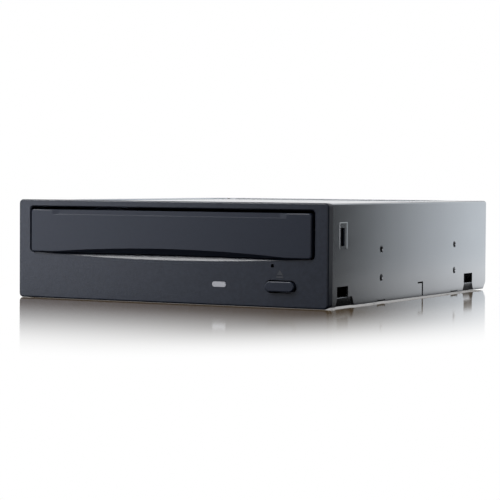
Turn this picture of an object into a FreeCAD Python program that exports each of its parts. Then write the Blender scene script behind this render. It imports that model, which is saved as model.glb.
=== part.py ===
import FreeCAD, Part
import math
import os

# Half-height optical disc drive for a 5.25-inch bay, with its tray shut.
# Millimetres. X runs across the drive, Y runs from the bezel to the rear, Z is up.
# While modelling, Y = 0 is the rear face of the bezel and Z = 0 its lower edge.

# Sheet-metal case
CASE_WIDTH = 146.0
CASE_HEIGHT = 41.3
CASE_DEPTH = 165.0
SHEET = 0.8
BEND_RADIUS = 1.2
COVER_GAP = 0.2
CORNER_SLIT = 0.4
CORNER_SLIT_HEIGHT = 36.0
REAR_CHAMFER = 3.0
TOP_PANEL_DEPTH = 0.5
TOP_PANEL_MARGIN = 12.0
TOP_PANEL_CORNER = 8.0

# Threaded mounting holes of the standard bay pattern, measured from the case's underside
MOUNT_FIRST_Y = 47.4
MOUNT_PITCH_Y = 79.24
SIDE_HOLE_LOW = 10.0
SIDE_HOLE_RISE = 11.84
BOTTOM_HOLE_INSET = 3.15
MOUNT_HOLE_R = 1.25
MOUNT_COLLAR_R = 2.2
MOUNT_COLLAR_LENGTH = 1.0
MOUNT_EDGE_BREAK = 0.3
BOTTOM_TAB_WIDTH = 6.6
BOTTOM_TAB_REACH = 6.4
TAB_RELIEF_WIDTH = 0.6
TAB_RELIEF_HEIGHT = 1.0

# Ears pressed into the side walls, deepest at the lower edge, which carry the cover screws
EAR_FRONT_Y = 10.4
EAR_REAR_INSET = 21.7
EAR_WINDOW_LENGTH = 10.2
EAR_WINDOW_TOP = 8.0
EAR_HEIGHT = 3.7
EAR_FRONT_EXTRA = 4.2
EAR_PRESS_DEPTH = 1.2
EAR_TOP_DEPTH = 0.4
EAR_FLARE = 1.8
EAR_SIDE_RUN = 1.0
EAR_FOLD_R = 0.6
EAR_FLANGE_REACH = 10.0
COVER_SCREW_INSET = 7.0
COVER_SCREW_R = 1.25
COVER_SCREW_HEAD_R = 2.6
COVER_SCREW_HEAD_HEIGHT = 1.1
COVER_SCREW_BITE = 6.0
DIMPLE_TOP_R = 3.4
DIMPLE_FLARE = 1.2
BEAD_LENGTH = 90.0
BEAD_WIDTH = 5.0
BEAD_HEIGHT = 0.6
BEAD_FRONT_Y = 26.0
BEADS_BEFORE_BOARD = (36.0, 12.0)

# Slots in the side walls: catch of the bezel clip, and the slit of a bent tab
CLIP_SLOT_Y = 7.5
CLIP_SLOT_WIDTH = 3.8
CLIP_SLOT_LOW = 24.2
CLIP_SLOT_HEIGHT = 7.3
CLIP_PAD_RAISE = 0.3
CLIP_PAD_SLOPE = 1.6
CLIP_PAD_BEFORE = 0.5
CLIP_PAD_BEHIND = 3.4
CLIP_PAD_BELOW = 1.3
CLIP_PAD_ABOVE = 2.2
SLIT_Y = 89.9
SLIT_WIDTH = 1.3
SLIT_HEIGHT = 6.5
SLIT_RUN = 4.4
SLIT_TOP_WIDTH = 0.7

# Bezel
BEZEL_DEPTH = 5.0
BEZEL_SIDE_LIP = 1.0
BEZEL_BOTTOM_LIP = 0.5
BEZEL_TOP_LIP = 0.2
BEZEL_TAPER = 0.4
BEZEL_CORNER = 1.8
BEZEL_EDGE_ROUND = 0.7
BEZEL_STRAIGHT = 1.05
BEZEL_WALL = 2.0
BEZEL_RIM = 1.6
BEZEL_TONGUE_X = 40.0
BEZEL_TONGUE_WIDTH = 12.0
BEZEL_TONGUE_REACH = 6.0
BEZEL_TONGUE_THICK = 1.3
CLIP_ARM_THICK = 1.4
CLIP_HOOK_PLAY = 0.25

# Tray door and the window that it fills
DOOR_SIDE_MARGIN = 6.0
DOOR_HEIGHT = 18.0
DOOR_LOW = 19.8
DOOR_PROUD = 1.0
DOOR_FRONT_WALL = 1.8
DOOR_DEPTH = 3.0
DOOR_RIM = 1.6
DOOR_EDGE_ROUND = 0.5
DOOR_CORNER = 1.2
DOOR_GAP_SIDE = 1.0
DOOR_GAP_BOTTOM = 0.3
DOOR_GAP_TOP = 1.3
DOOR_CREASE_DROP = 2.1
DOOR_CREASE_STEP = 0.28
DOOR_CREASE_LEAN = 0.12
DOOR_CREASE_MARGIN = 14.0
DOOR_CREASE_FADE = 3.0
DOOR_CREASE_FAINT = 0.1
WINDOW_CORNER = 1.5
WINDOW_CHAMFER = 0.4
WINDOW_LOWER_WALL = 2.3

# Finger grip: an eye-shaped hollow, half in the door and half in the bezel
GRIP_END_MARGIN = 2.0
GRIP_BEZEL_DROP = 2.2
GRIP_BEZEL_END_DROP = 0.3
GRIP_BEZEL_DEPTH = 2.0
GRIP_RUN_ON = 0.5
GRIP_LIP_DROP = 0.7
GRIP_LIP_DEPTH = 0.35
GRIP_DOOR_RISE = 2.55
GRIP_DOOR_MARGIN = 7.4
GRIP_DOOR_DEPTH = 2.4

# Front controls, placed from the case's side and the bezel's lower edge
BUTTON_INSET = 20.0
BUTTON_Z = 8.5
BUTTON_WIDTH = 13.0
BUTTON_HEIGHT = 4.2
BUTTON_PROUD = 1.4
BUTTON_GAP = 0.55
BUTTON_COLLAR = 1.1
BUTTON_COLLAR_LENGTH = 3.6
BUTTON_FLANGE = 0.8
BUTTON_FLANGE_THICK = 1.0
BUTTON_TRAVEL = 0.6
BUTTON_STEM_R = 1.5
BUTTON_STEM_LENGTH = 2.7
BUTTON_EDGE_ROUND = 0.5
LIGHT_FROM_BUTTON = 28.15
LIGHT_Z = 8.6
LIGHT_WIDTH = 6.4
LIGHT_HEIGHT = 2.1
LIGHT_GAP = 0.1
LIGHT_FLANGE = 0.9
LIGHT_FLANGE_THICK = 0.8
LIGHT_PIPE_WIDTH = 3.0
LIGHT_PIPE_HEIGHT = 1.8
LIGHT_PIPE_REACH = 3.2
PINHOLE_FROM_BUTTON = 3.7
PINHOLE_Z = 16.7
PINHOLE_R = 0.75

# Tray
DISC_Y = 68.0
TRAY_SIDE_GAP = 0.8
TRAY_REAR_INSET = 6.5
TRAY_RAIL_LOW = 21.5
TRAY_RAIL_HEIGHT = 4.7
TRAY_RAIL_WIDTH = 3.4
TRAY_FLOOR = 0.9
TRAY_STEP = 0.8
TRAY_LEDGE_RISE = 0.7
TRAY_RIM_RISE = 2.4
DISC_WELL_R = 60.5
DISC_LEDGE_WIDTH = 2.5
SMALL_DISC_WELL_R = 41.0
TRAY_SLOT_HALF = 21.0
FINGER_NOTCH_R = 9.0
FINGER_NOTCH_X = 50.0
TRAY_FLANGE_MARGIN = 2.5
TRAY_FLANGE_THICK = 1.8
TRAY_FLANGE_GAP = 0.3
TRAY_FLANGE_TOP_GAP = 0.2
RACK_X = -34.0
RACK_START_Y = 11.0
RACK_BACK_X = -31.0
RACK_DROP = 3.8
RACK_END_GAP = 1.0
DISC_LIFT = 2.0

# Loading gears: stub involute teeth
PRESSURE_ANGLE = math.radians(20.0)
ADDENDUM = 0.8
DEDENDUM = 1.05
TOOTH_PLAY = 0.12
RACK_MODULE = 1.0
WHEEL_MODULE = 0.8
RACK_PINION_TEETH = 14
WHEEL_TEETH = 34
PULLEY_PINION_TEETH = 12
DRIVE_GEAR_Y = 17.0
GEAR_LINE_ANGLE = math.radians(-8.0)
GEAR_PIN_R = 1.5
RUNNING_GAP = 0.05
WHEEL_THICK = 2.8
GEAR_AXIAL_GAP = 0.4
PULLEY_R = 11.4
PULLEY_GROOVE_DEPTH = 1.4
PULLEY_THICK = 2.8
MOTOR_PULLEY_R = 3.2
MOTOR_PULLEY_GROOVE_DEPTH = 1.2
BELT_SECTION = 1.2
BELT_GAP = 0.05
MOTOR_X = 4.0
MOTOR_Y = 14.0
MOTOR_R = 10.4
MOTOR_CAN_BOTTOM = 2.6
MOTOR_CAN_BASE = 1.0
MOTOR_NECK_R = 2.1
MOTOR_NECK_HEIGHT = 1.2
MOTOR_SHAFT_R = 1.0
MOTOR_SCREW_OFFSET = 7.0
SMALL_SCREW_R = 0.9
SMALL_SCREW_HEAD_R = 1.8
SMALL_SCREW_HEAD_HEIGHT = 0.9
THREAD_GAP = 0.02

# Loader frame
FRAME_SIDE_INSET = 6.8
FRAME_WALL = 1.6
FRAME_FRONT_Y = 3.0
FRAME_REAR_INSET = 5.0
FRAME_LOW = 6.0
FRAME_WALL_TOP = 27.0
FRAME_LEDGE_REACH = 4.6
FRAME_LEDGE_THICK = 1.6
RAIL_GAP = 0.3
HOLD_DOWN_THICK = 1.7
HOLD_DOWN_REACH = 3.6
FRONT_HOLD_DOWNS = ((8.0, 20.0), (51.0, 85.0))
REAR_HOLD_DOWN_INSET = 20.0
REAR_HOLD_DOWN_LENGTH = 12.0
GEAR_FLOOR_TOP = 14.4
GEAR_FLOOR_THICK = 1.6
GEAR_FLOOR_RIGHT = 16.5
CROSS_WALL_Y = 33.4
CROSS_WALL_RIGHT = 24.0
CORNER_BOSS_R = 3.2
REAR_BEAM_LOW = 11.2
BRACKET_WIDTH = 3.0
BRACKET_LENGTH = 11.5
POST_R = 3.0
CLEARANCE = 0.3

# Cam slider, which raises and lowers the traverse
SLIDER_THICK = 2.0
SLIDER_GAP = 1.0
SLIDER_LEFT = -44.0
SLIDER_PAST_PINHOLE = 3.7
SLIDER_LOW = 4.3
SLIDER_TOP = 18.4
SLIDER_TRAVEL = 16.0
TRACK_LOW = 2.4
TRACK_THICK = 1.6
TRACK_LIP_THICK = 1.0
TRACK_LIP_HEIGHT = 2.0
CAM_PIN_X = 25.0
CAM_PIN_R = 1.25
CAM_PIN_PLAY = 0.3
RELEASE_RAMP_WIDTH = 7.0
RELEASE_RAMP_REACH = 5.0
RELEASE_RAMP_HEIGHT = 4.0

# Lift frame, hinged at its rear, with the traverse deck hung in it on rubber
TILT = math.radians(3.5)
HINGE_INSET = 9.5
HINGE_Z = 15.0
HINGE_PIN_R = 1.5
HINGE_PAD_R = 3.4
LIFT_SIDE_GAP = 3.5
LIFT_FRONT_Y = 40.0
LIFT_PAST_HINGE = 3.5
LIFT_LOW = 9.0
LIFT_PLATE_TOP = 13.5
LIFT_PLATE = 1.6
LIFT_WALL = 1.6
LIFT_WALL_TOP = 17.0
LIFT_OPENING_INSET = 10.0
LIFT_OPENING_FRONT = 52.0
LIFT_OPENING_BEFORE_HINGE = 7.0
RUBBER_INSET = 4.5
RUBBER_FRONT_Y = 47.0
RUBBER_BEFORE_HINGE = 3.0
RUBBER_R = 4.2
RUBBER_NECK_R = 3.0
RUBBER_BORE_R = 1.4
RUBBER_FOOT = 1.5
RUBBER_CAP = 1.5
MOUNT_SCREW_R = 1.2
MOUNT_SCREW_HEAD_R = 3.0
MOUNT_SCREW_HEAD_HEIGHT = 1.2

# Traverse deck and what it carries
DECK_SHEET = 1.0
DECK_HALF = 43.5
DECK_FRONT_Y = 42.8
DECK_PAST_HINGE = 0.7
DECK_CORNER = 4.0
DECK_MOTOR_HOLE_R = 14.8
DECK_OPENING_INSET = 3.5
DECK_OPENING_FRONT = 76.0
ROD_INSET = 16.5
ROD_RISE = 3.0
ROD_R = 1.5
ROD_START_Y = 82.6
ROD_TAB_BEFORE_HINGE = 5.0
ROD_TAB_WIDTH = 5.6
ROD_TAB_HEIGHT = 5.4
SCREW_FROM_ROD = 6.0
SCREW_RISE = 2.2
SCREW_R = 1.5
SCREW_GROOVE = 0.25
SCREW_GROOVES = 5
SCREW_JOURNAL_R = 1.0
SCREW_TAB_BEFORE_HINGE = 14.5
SLED_MOTOR_R = 3.8
SLED_MOTOR_LENGTH = 14.0
SLED_MOTOR_FRONT_Y = 53.0
SLED_MOTOR_SHAFT_R = 0.7

# Spindle motor and turntable
SPINDLE_PLATE_HALF = 18.0
SPINDLE_PLATE_LENGTH = 30.2
SPINDLE_SHAFT_R = 1.5
SPINDLE_SLEEVE_R = 3.0
SPINDLE_SLEEVE_DROP = 3.0
STATOR_R = 10.5
STATOR_RISE = 1.5
STATOR_HEIGHT = 6.0
ROTOR_R = 14.2
ROTOR_WALL = 1.6
ROTOR_RISE = 1.2
TABLE_R = 15.0
TABLE_THICK = 2.2
TABLE_PAD_THICK = 0.4
TABLE_PAD_INNER_R = 9.5
HUB_R = 7.4
HUB_HEIGHT = 2.2
HUB_TAPER = 1.6

# Pickup sled
SLED_SIDE_GAP = 5.5
SLED_FRONT_Y = 83.8
SLED_LENGTH = 21.2
SLED_LOW = 12.5
SLED_HEIGHT = 10.5
SLED_ARM_INSET = 2.3
SLED_FORK_LENGTH = 6.0
SLED_COVER_SHEET = 0.5
SLED_EDGE = 1.5
LENS_Y = 92.0
LENS_R = 3.0
LENS_THICK = 1.2
LENS_GAP = 1.8
HOLDER_WIDTH = 11.0
HOLDER_LENGTH = 7.0
HOLDER_HEIGHT = 3.2
MAGNET_GAP = 0.6
MAGNET_THICK = 2.0
MAGNET_WIDTH = 8.0
MAGNET_HEIGHT = 3.6
LASER_R = 2.8
LASER_LENGTH = 3.4
LASER_X = 8.0
NUT_LENGTH = 6.0
NUT_HALF = 2.3

# Clamp bridge and clamper
BRIDGE_SHEET = 0.8
BRIDGE_LOW = 35.6
BRIDGE_WIDTH = 30.0
BRIDGE_SHOULDER_INSET = 10.2
BRIDGE_FOOT_INSET = 6.2
BRIDGE_EDGE_HEIGHT = 1.6
BRIDGE_EDGE_MARGIN = 6.0
BRIDGE_HOLE_GAP = 0.8
BRIDGE_SCREW_SIDE_INSET = 1.6
BRIDGE_SCREW_INSET = 4.0
CLAMP_GAP = 1.4
CLAMPER_R = 14.0
CLAMPER_PAD = 1.6
CLAMPER_RECESS_R = 8.6
CLAMPER_RECESS = 1.3
CLAMPER_NECK_R = 9.4
CLAMPER_FLANGE_R = 12.5
CLAMPER_FLANGE = 1.2
CLAMPER_PLATE_R = 9.0
CLAMPER_PLATE_BORE_R = 4.0
CLAMPER_PLATE = 0.8

# Circuit boards and their parts
BOARD = 1.2
MAIN_BOARD_SIDE_GAP = 13.0
MAIN_BOARD_LENGTH = 65.0
MAIN_BOARD_REAR_GAP = 4.0
CHIP_HEIGHT = 1.4
PAD_HEIGHT = 1.0
CHIPS = ((-10.0, 33.0, 22.0, 22.0), (28.0, 37.0, 12.0, 14.0), (-40.0, 41.0, 12.0, 18.0))
BOARD_POST_GAP = 4.0
BOARD_POST_INSET = 8.0
BOARD_ARM_INSET = 3.0
BOARD_ARM_BACK = 10.0
FRONT_BOARD_LOW = 5.4
FRONT_BOARD_BEFORE_LIGHT = 6.85
FRONT_BOARD_PAST_BUTTON = 7.5
FRONT_BOARD_FRONT_Y = 3.6
FRONT_BOARD_REAR_Y = 30.0
FRONT_POST_Y = 26.5
LIGHT_POST_OFFSET = 0.85
BUTTON_POST_OFFSET = 9.0
BOARD_SCREW_R = 1.0
BOARD_SCREW_HEAD_R = 2.2
BOARD_SCREW_HEAD_HEIGHT = 1.3
BOARD_SCREW_BITE = 2.4
SWITCH_WIDTH = 6.0
SWITCH_LENGTH = 3.6
SWITCH_HEIGHT = 3.9
SWITCH_PLUNGER_R = 1.2
SWITCH_PLUNGER_SINK = 0.6
LED_WIDTH = 3.0
LED_LENGTH = 2.4
LED_HEIGHT = 2.8
SOCKET_FROM_POST = 6.0
SOCKET_WIDTH = 40.0
SOCKET_INSET = 9.0
SOCKET_HEIGHT = 5.4
SOCKET_DEPTH = 4.7
SOCKET_SET_BACK = 0.3
SOCKET_ARM = 2.2
BLADE_GAP = 1.3
DATA_BLADE = 10.4
POWER_BLADE = 20.6
BLADE_THICK = 1.3
BLADE_LOW = 1.6
BLADE_KEY = 1.2
BLADE_KEY_DROP = 1.3
CONTACT_PITCH = 1.27
CONTACT_WIDTH = 0.7
CONTACT_THICK = 0.15
CONTACT_LENGTH = 3.4
DATA_CONTACTS = 7
POWER_CONTACTS = 15
SOCKET_WINDOW_GAP = 0.6
RIBBON_PAST_BUTTON = 0.5
RIBBON_WIDTH = 8.0
RIBBON_THICK = 0.2
RIBBON_SOCKET_LENGTH = 3.2
RIBBON_SOCKET_HEIGHT = 1.8

# Places that follow from the sizes above
HALF_CASE = CASE_WIDTH / 2.0
CASE_LOW = BEZEL_BOTTOM_LIP
CASE_TOP = CASE_LOW + CASE_HEIGHT
WALL_INNER = HALF_CASE - SHEET
FLOOR_TOP = CASE_LOW + SHEET
ROOF_INNER = CASE_TOP - SHEET
REAR_INNER = CASE_DEPTH - SHEET
BOTTOM_HOLE_X = HALF_CASE - BOTTOM_HOLE_INSET
COVER_SCREW_X = HALF_CASE - COVER_SCREW_INSET
EAR_REAR_Y = CASE_DEPTH - EAR_REAR_INSET
EAR_TOP = CASE_LOW + EAR_HEIGHT
EAR_UNDER = EAR_TOP - SHEET
BEZEL_HALF = HALF_CASE + BEZEL_SIDE_LIP
BEZEL_TOP = CASE_TOP + BEZEL_TOP_LIP
BEZEL_FRONT = -BEZEL_DEPTH
DOOR_TOP = DOOR_LOW + DOOR_HEIGHT
DOOR_HALF = HALF_CASE - DOOR_SIDE_MARGIN
DOOR_CREASE_HALF = DOOR_HALF - DOOR_CREASE_MARGIN
GRIP_DOOR_HALF = DOOR_HALF - GRIP_DOOR_MARGIN
DOOR_FRONT = BEZEL_FRONT - DOOR_PROUD
DOOR_INNER = DOOR_FRONT + DOOR_FRONT_WALL
WINDOW_HALF = DOOR_HALF + DOOR_GAP_SIDE
GRIP_HALF = WINDOW_HALF - GRIP_END_MARGIN
WINDOW_LOW = DOOR_LOW - DOOR_GAP_BOTTOM
WINDOW_TOP = DOOR_TOP + DOOR_GAP_TOP
BUTTON_FRONT = BEZEL_FRONT - BUTTON_PROUD
BUTTON_X = HALF_CASE - BUTTON_INSET
LIGHT_X = BUTTON_X - LIGHT_FROM_BUTTON
PINHOLE_X = BUTTON_X - PINHOLE_FROM_BUTTON
FRAME_SHIFT_Y = -(CASE_DEPTH + BUTTON_FRONT) / 2.0
FRAME_WALL_INNER = HALF_CASE - FRAME_SIDE_INSET
FRAME_OUTER = FRAME_WALL_INNER + FRAME_WALL
FRAME_REAR_Y = CASE_DEPTH - FRAME_REAR_INSET
FRAME_LEDGE_INNER = FRAME_WALL_INNER - FRAME_LEDGE_REACH
HOLD_DOWN_INNER = FRAME_WALL_INNER - HOLD_DOWN_REACH
REAR_HOLD_DOWN_END = FRAME_REAR_Y - REAR_HOLD_DOWN_INSET
REAR_HOLD_DOWN = (REAR_HOLD_DOWN_END - REAR_HOLD_DOWN_LENGTH, REAR_HOLD_DOWN_END)
TRAY_HALF = FRAME_WALL_INNER - TRAY_SIDE_GAP
TRAY_FLANGE_HALF = DOOR_HALF - TRAY_FLANGE_MARGIN
TRAY_REAR = CASE_DEPTH - TRAY_REAR_INSET
TRAY_UNDER = TRAY_RAIL_LOW + TRAY_RAIL_HEIGHT
SMALL_WELL_Z = TRAY_UNDER + TRAY_FLOOR
INNER_WELL_Z = SMALL_WELL_Z + TRAY_STEP
LEDGE_Z = INNER_WELL_Z + TRAY_LEDGE_RISE
TRAY_RIM_Z = LEDGE_Z + TRAY_RIM_RISE
TRAY_FRONT = DOOR_INNER + TRAY_FLANGE_THICK
RACK_LOW = TRAY_UNDER - RACK_DROP
RACK_END_Y = TRAY_REAR - RACK_END_GAP
DISC_PLANE = LEDGE_Z + DISC_LIFT
DRIVE_GEAR_X = RACK_X - RACK_MODULE * RACK_PINION_TEETH / 2.0
GEAR_CENTRES = WHEEL_MODULE * (WHEEL_TEETH + PULLEY_PINION_TEETH) / 2.0
PULLEY_GEAR_X = DRIVE_GEAR_X + GEAR_CENTRES * math.cos(GEAR_LINE_ANGLE)
PULLEY_GEAR_Y = DRIVE_GEAR_Y + GEAR_CENTRES * math.sin(GEAR_LINE_ANGLE)
RACK_PINION_TOP = TRAY_UNDER - GEAR_AXIAL_GAP
WHEEL_TOP = RACK_LOW - 2.0 * GEAR_AXIAL_GAP
WHEEL_LOW = WHEEL_TOP - WHEEL_THICK
PULLEY_TOP = WHEEL_LOW - GEAR_AXIAL_GAP
PULLEY_LOW = PULLEY_TOP - PULLEY_THICK
BELT_LOW = PULLEY_LOW + (PULLEY_THICK - BELT_SECTION) / 2.0
MOTOR_CAN_TOP = GEAR_FLOOR_TOP - GEAR_FLOOR_THICK
LEDGE_TOP = TRAY_RAIL_LOW - RAIL_GAP
LEDGE_UNDER = LEDGE_TOP - FRAME_LEDGE_THICK
HOLD_DOWN_LOW = TRAY_RIM_Z + RAIL_GAP
HOLD_DOWN_TOP = HOLD_DOWN_LOW + HOLD_DOWN_THICK
SLIDER_RIGHT = PINHOLE_X + SLIDER_PAST_PINHOLE
SLIDER_FRONT_Y = CROSS_WALL_Y + FRAME_WALL + SLIDER_GAP
SLIDER_REAR_Y = SLIDER_FRONT_Y + SLIDER_THICK
TRACK_TOP = TRACK_LOW + TRACK_THICK
TRACK_LIP_Y = SLIDER_REAR_Y + CLEARANCE
HINGE_Y = FRAME_REAR_Y - HINGE_INSET
CAM_DROP = (HINGE_Y - SLIDER_FRONT_Y - SLIDER_THICK / 2.0) * math.sin(TILT)
LIFT_HALF = DECK_HALF + LIFT_SIDE_GAP
LIFT_REAR_Y = HINGE_Y + LIFT_PAST_HINGE
LIFT_OPENING_HALF = DECK_HALF - LIFT_OPENING_INSET
LIFT_OPENING_REAR = HINGE_Y - LIFT_OPENING_BEFORE_HINGE
RUBBER_X = DECK_HALF - RUBBER_INSET
RUBBER_REAR_Y = HINGE_Y - RUBBER_BEFORE_HINGE
DECK_REAR_Y = HINGE_Y + DECK_PAST_HINGE
DECK_LOW = LIFT_PLATE_TOP + RUBBER_FOOT
DECK_TOP = DECK_LOW + DECK_SHEET
RUBBER_TOP = DECK_TOP + RUBBER_CAP
ROD_X = DECK_HALF - ROD_INSET
ROD_Z = DECK_TOP + ROD_RISE
ROD_TAB_REAR_Y = HINGE_Y - ROD_TAB_BEFORE_HINGE
DECK_OPENING_HALF = ROD_X - DECK_OPENING_INSET
SCREW_X = -ROD_X - SCREW_FROM_ROD
SCREW_TAB_REAR_Y = HINGE_Y - SCREW_TAB_BEFORE_HINGE
SCREW_Z = DECK_TOP + SCREW_RISE
SLED_MOTOR_REAR_Y = SLED_MOTOR_FRONT_Y + SLED_MOTOR_LENGTH
ROD_END_Y = ROD_TAB_REAR_Y + DECK_SHEET + CLEARANCE
TABLE_TOP = DISC_PLANE - TABLE_PAD_THICK
TABLE_LOW = TABLE_TOP - TABLE_THICK
SLED_HALF = ROD_X - SLED_SIDE_GAP
SLED_REAR_Y = SLED_FRONT_Y + SLED_LENGTH
SLED_TOP = SLED_LOW + SLED_HEIGHT
SLED_COVER_TOP = SLED_TOP + SLED_COVER_SHEET
LENS_TOP = DISC_PLANE - LENS_GAP
HOLDER_TOP = LENS_TOP - LENS_THICK
CLAMPER_LOW = DISC_PLANE + CLAMP_GAP
BRIDGE_TOP = BRIDGE_LOW + BRIDGE_SHEET
BRIDGE_SHOULDER_X = FRAME_WALL_INNER - BRIDGE_SHOULDER_INSET
BRIDGE_FOOT_X = FRAME_WALL_INNER - BRIDGE_FOOT_INSET
BRIDGE_SCREW_X = FRAME_WALL_INNER - BRIDGE_SCREW_SIDE_INSET
BRIDGE_EDGE_HALF = BRIDGE_SHOULDER_X - BRIDGE_EDGE_MARGIN
CLAMPER_FLANGE_LOW = BRIDGE_TOP + CLEARANCE
CLAMPER_TOP = CLAMPER_FLANGE_LOW + CLAMPER_FLANGE
MAIN_BOARD_HALF = HALF_CASE - MAIN_BOARD_SIDE_GAP
MAIN_BOARD_REAR_Y = CASE_DEPTH - MAIN_BOARD_REAR_GAP
MAIN_BOARD_FRONT_Y = MAIN_BOARD_REAR_Y - MAIN_BOARD_LENGTH
BOARD_POST_X = LIFT_HALF + BOARD_POST_GAP
BOARD_POST_Y = MAIN_BOARD_REAR_Y - BOARD_POST_INSET
BOARD_ARM_X = MAIN_BOARD_HALF - BOARD_ARM_INSET
BOARD_ARM_Y = MAIN_BOARD_FRONT_Y + BOARD_ARM_BACK
BEAD_PLACES_Y = [BEAD_FRONT_Y] + [MAIN_BOARD_FRONT_Y - gap for gap in BEADS_BEFORE_BOARD]
FRONT_BOARD_LEFT = LIGHT_X - FRONT_BOARD_BEFORE_LIGHT
FRONT_BOARD_RIGHT = BUTTON_X + FRONT_BOARD_PAST_BUTTON
FRONT_POSTS_X = (LIGHT_X - LIGHT_POST_OFFSET, BUTTON_X - BUTTON_POST_OFFSET)
RIBBON_X = BUTTON_X + RIBBON_PAST_BUTTON
CHIP_LOW = FLOOR_TOP + PAD_HEIGHT
BOARD_LOW = CHIP_LOW + CHIP_HEIGHT
BOARD_TOP = BOARD_LOW + BOARD
FRONT_BOARD_TOP = FRONT_BOARD_LOW + BOARD
SOCKET_LEFT = BOARD_POST_X - SOCKET_FROM_POST - SOCKET_WIDTH
SOCKET_FRONT_Y = CASE_DEPTH - SOCKET_INSET
SOCKET_REAR_Y = SOCKET_FRONT_Y + SOCKET_DEPTH
BLADE_END_Y = CASE_DEPTH - SOCKET_SET_BACK

# Working values: how far cutting tools run past a face or out of the part, and a small tolerance
CUT_PAST = 1.0
CUT_FAR = 400.0
TINY = 1e-6


def vec(x, y, z):
    return FreeCAD.Vector(x, y, z)


def block(x0, x1, y0, y1, z0, z1):
    return Part.makeBox(x1 - x0, y1 - y0, z1 - z0, vec(x0, y0, z0))


def centred_block(half_x, y0, y1, z0, z1):
    return block(-half_x, half_x, y0, y1, z0, z1)


def disc(x, y, z0, z1, radius):
    return Part.makeCylinder(radius, z1 - z0, vec(x, y, z0))


def ring(x, y, z0, z1, outer, inner):
    return disc(x, y, z0, z1, outer).cut(disc(x, y, z0, z1, inner))


def rod_along_y(x, z, y0, y1, radius):
    return Part.makeCylinder(radius, y1 - y0, vec(x, y0, z), vec(0, 1, 0))


def rod_along_x(y, z, x0, x1, radius):
    return Part.makeCylinder(radius, x1 - x0, vec(x0, y, z), vec(1, 0, 0))


def mirrored(shape):
    return shape.mirror(vec(0, 0, 0), vec(1, 0, 0))


def both_sides(shapes):
    return [side for shape in shapes for side in (shape, mirrored(shape))]


def joined(shapes):
    return shapes[0].fuse(shapes[1:]).removeSplitter()


def without(shape, tools):
    return shape.cut(tools).removeSplitter()


def polygon(points):
    return Part.Face(Part.makePolygon(points + points[:1]))


def stadium(x, z, width, height, y0, y1):
    # A slot-shaped bar along Y, with round ends left and right
    reach = (width - height) / 2.0
    body = block(x - reach, x + reach, y0, y1, z - height / 2.0, z + height / 2.0)
    ends = [rod_along_y(x + end * reach, z, y0, y1, height / 2.0) for end in (-1, 1)]
    return joined([body] + ends)


def tapered_block(axis, start, end, low, high, inset, high_inset=None):
    # A block along X or Z whose far face is smaller on all four sides by the insets
    def outline(level, low_shrink, high_shrink):
        a0, b0 = low[0] + low_shrink[0], low[1] + low_shrink[1]
        a1, b1 = high[0] - high_shrink[0], high[1] - high_shrink[1]
        corners = ((a0, b0), (a1, b0), (a1, b1), (a0, b1))
        if axis == "x":
            points = [vec(level, a, b) for a, b in corners]
        else:
            points = [vec(a, b, level) for a, b in corners]
        return Part.makePolygon(points + points[:1])
    whole = (0.0, 0.0)
    return Part.makeLoft([outline(start, whole, whole), outline(end, inset, high_inset or inset)],
                         True, True)


def edges_along(shape, direction, test):
    # Straight edges parallel to a direction whose middle passes the test
    found = []
    for edge in shape.Edges:
        if not isinstance(edge.Curve, Part.Line):
            continue
        along = edge.tangentAt(edge.FirstParameter)
        if abs(abs(along.dot(direction)) - 1.0) < TINY and test(edge.CenterOfMass):
            found.append(edge)
    return found


def arc_segment(half, z_end, z_middle, z_closing, y):
    # The region between a shallow arc and a straight closing line, in a plane across Y
    left = vec(-half, y, z_end)
    right = vec(half, y, z_end)
    arc = Part.Arc(left, vec(0, y, z_middle), right).toShape()
    closing = Part.makePolygon([right, vec(half, y, z_closing), vec(-half, y, z_closing), left])
    return Part.Face(Part.Wire([arc] + closing.Edges))


# Gear teeth

def involute(angle):
    return math.tan(angle) - angle


def gear_face(teeth, module, phase):
    pitch = module * teeth / 2.0
    base = pitch * math.cos(PRESSURE_ANGLE)
    tip = pitch + ADDENDUM * module
    root = pitch - DEDENDUM * module
    half = math.pi / (2.0 * teeth) - TOOTH_PLAY / (2.0 * pitch)

    def flank(radius):
        rolled = involute(math.acos(min(1.0, base / radius)))
        return half + involute(PRESSURE_ANGLE) - rolled

    radii = [root, max(base, root), pitch, tip]
    points = []
    for tooth in range(teeth):
        middle = phase + 2.0 * math.pi * tooth / teeth
        sides = [(r, middle - flank(max(r, base))) for r in radii]
        sides += [(r, middle + flank(max(r, base))) for r in reversed(radii)]
        points += [vec(r * math.cos(a), r * math.sin(a), 0) for r, a in sides]
    return polygon(points)


def gear_solid(x, y, z0, z1, teeth, module, phase):
    solid = gear_face(teeth, module, phase).extrude(vec(0, 0, z1 - z0))
    solid.translate(vec(x, y, z0))
    return solid


def meshing_phase(phase, teeth, line, other_teeth):
    # Turns the second gear so that a gap of its teeth meets a tooth of the first
    offset = (line - phase) * teeth / (2.0 * math.pi)
    return line + math.pi - 2.0 * math.pi / other_teeth * (0.5 - offset)


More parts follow.
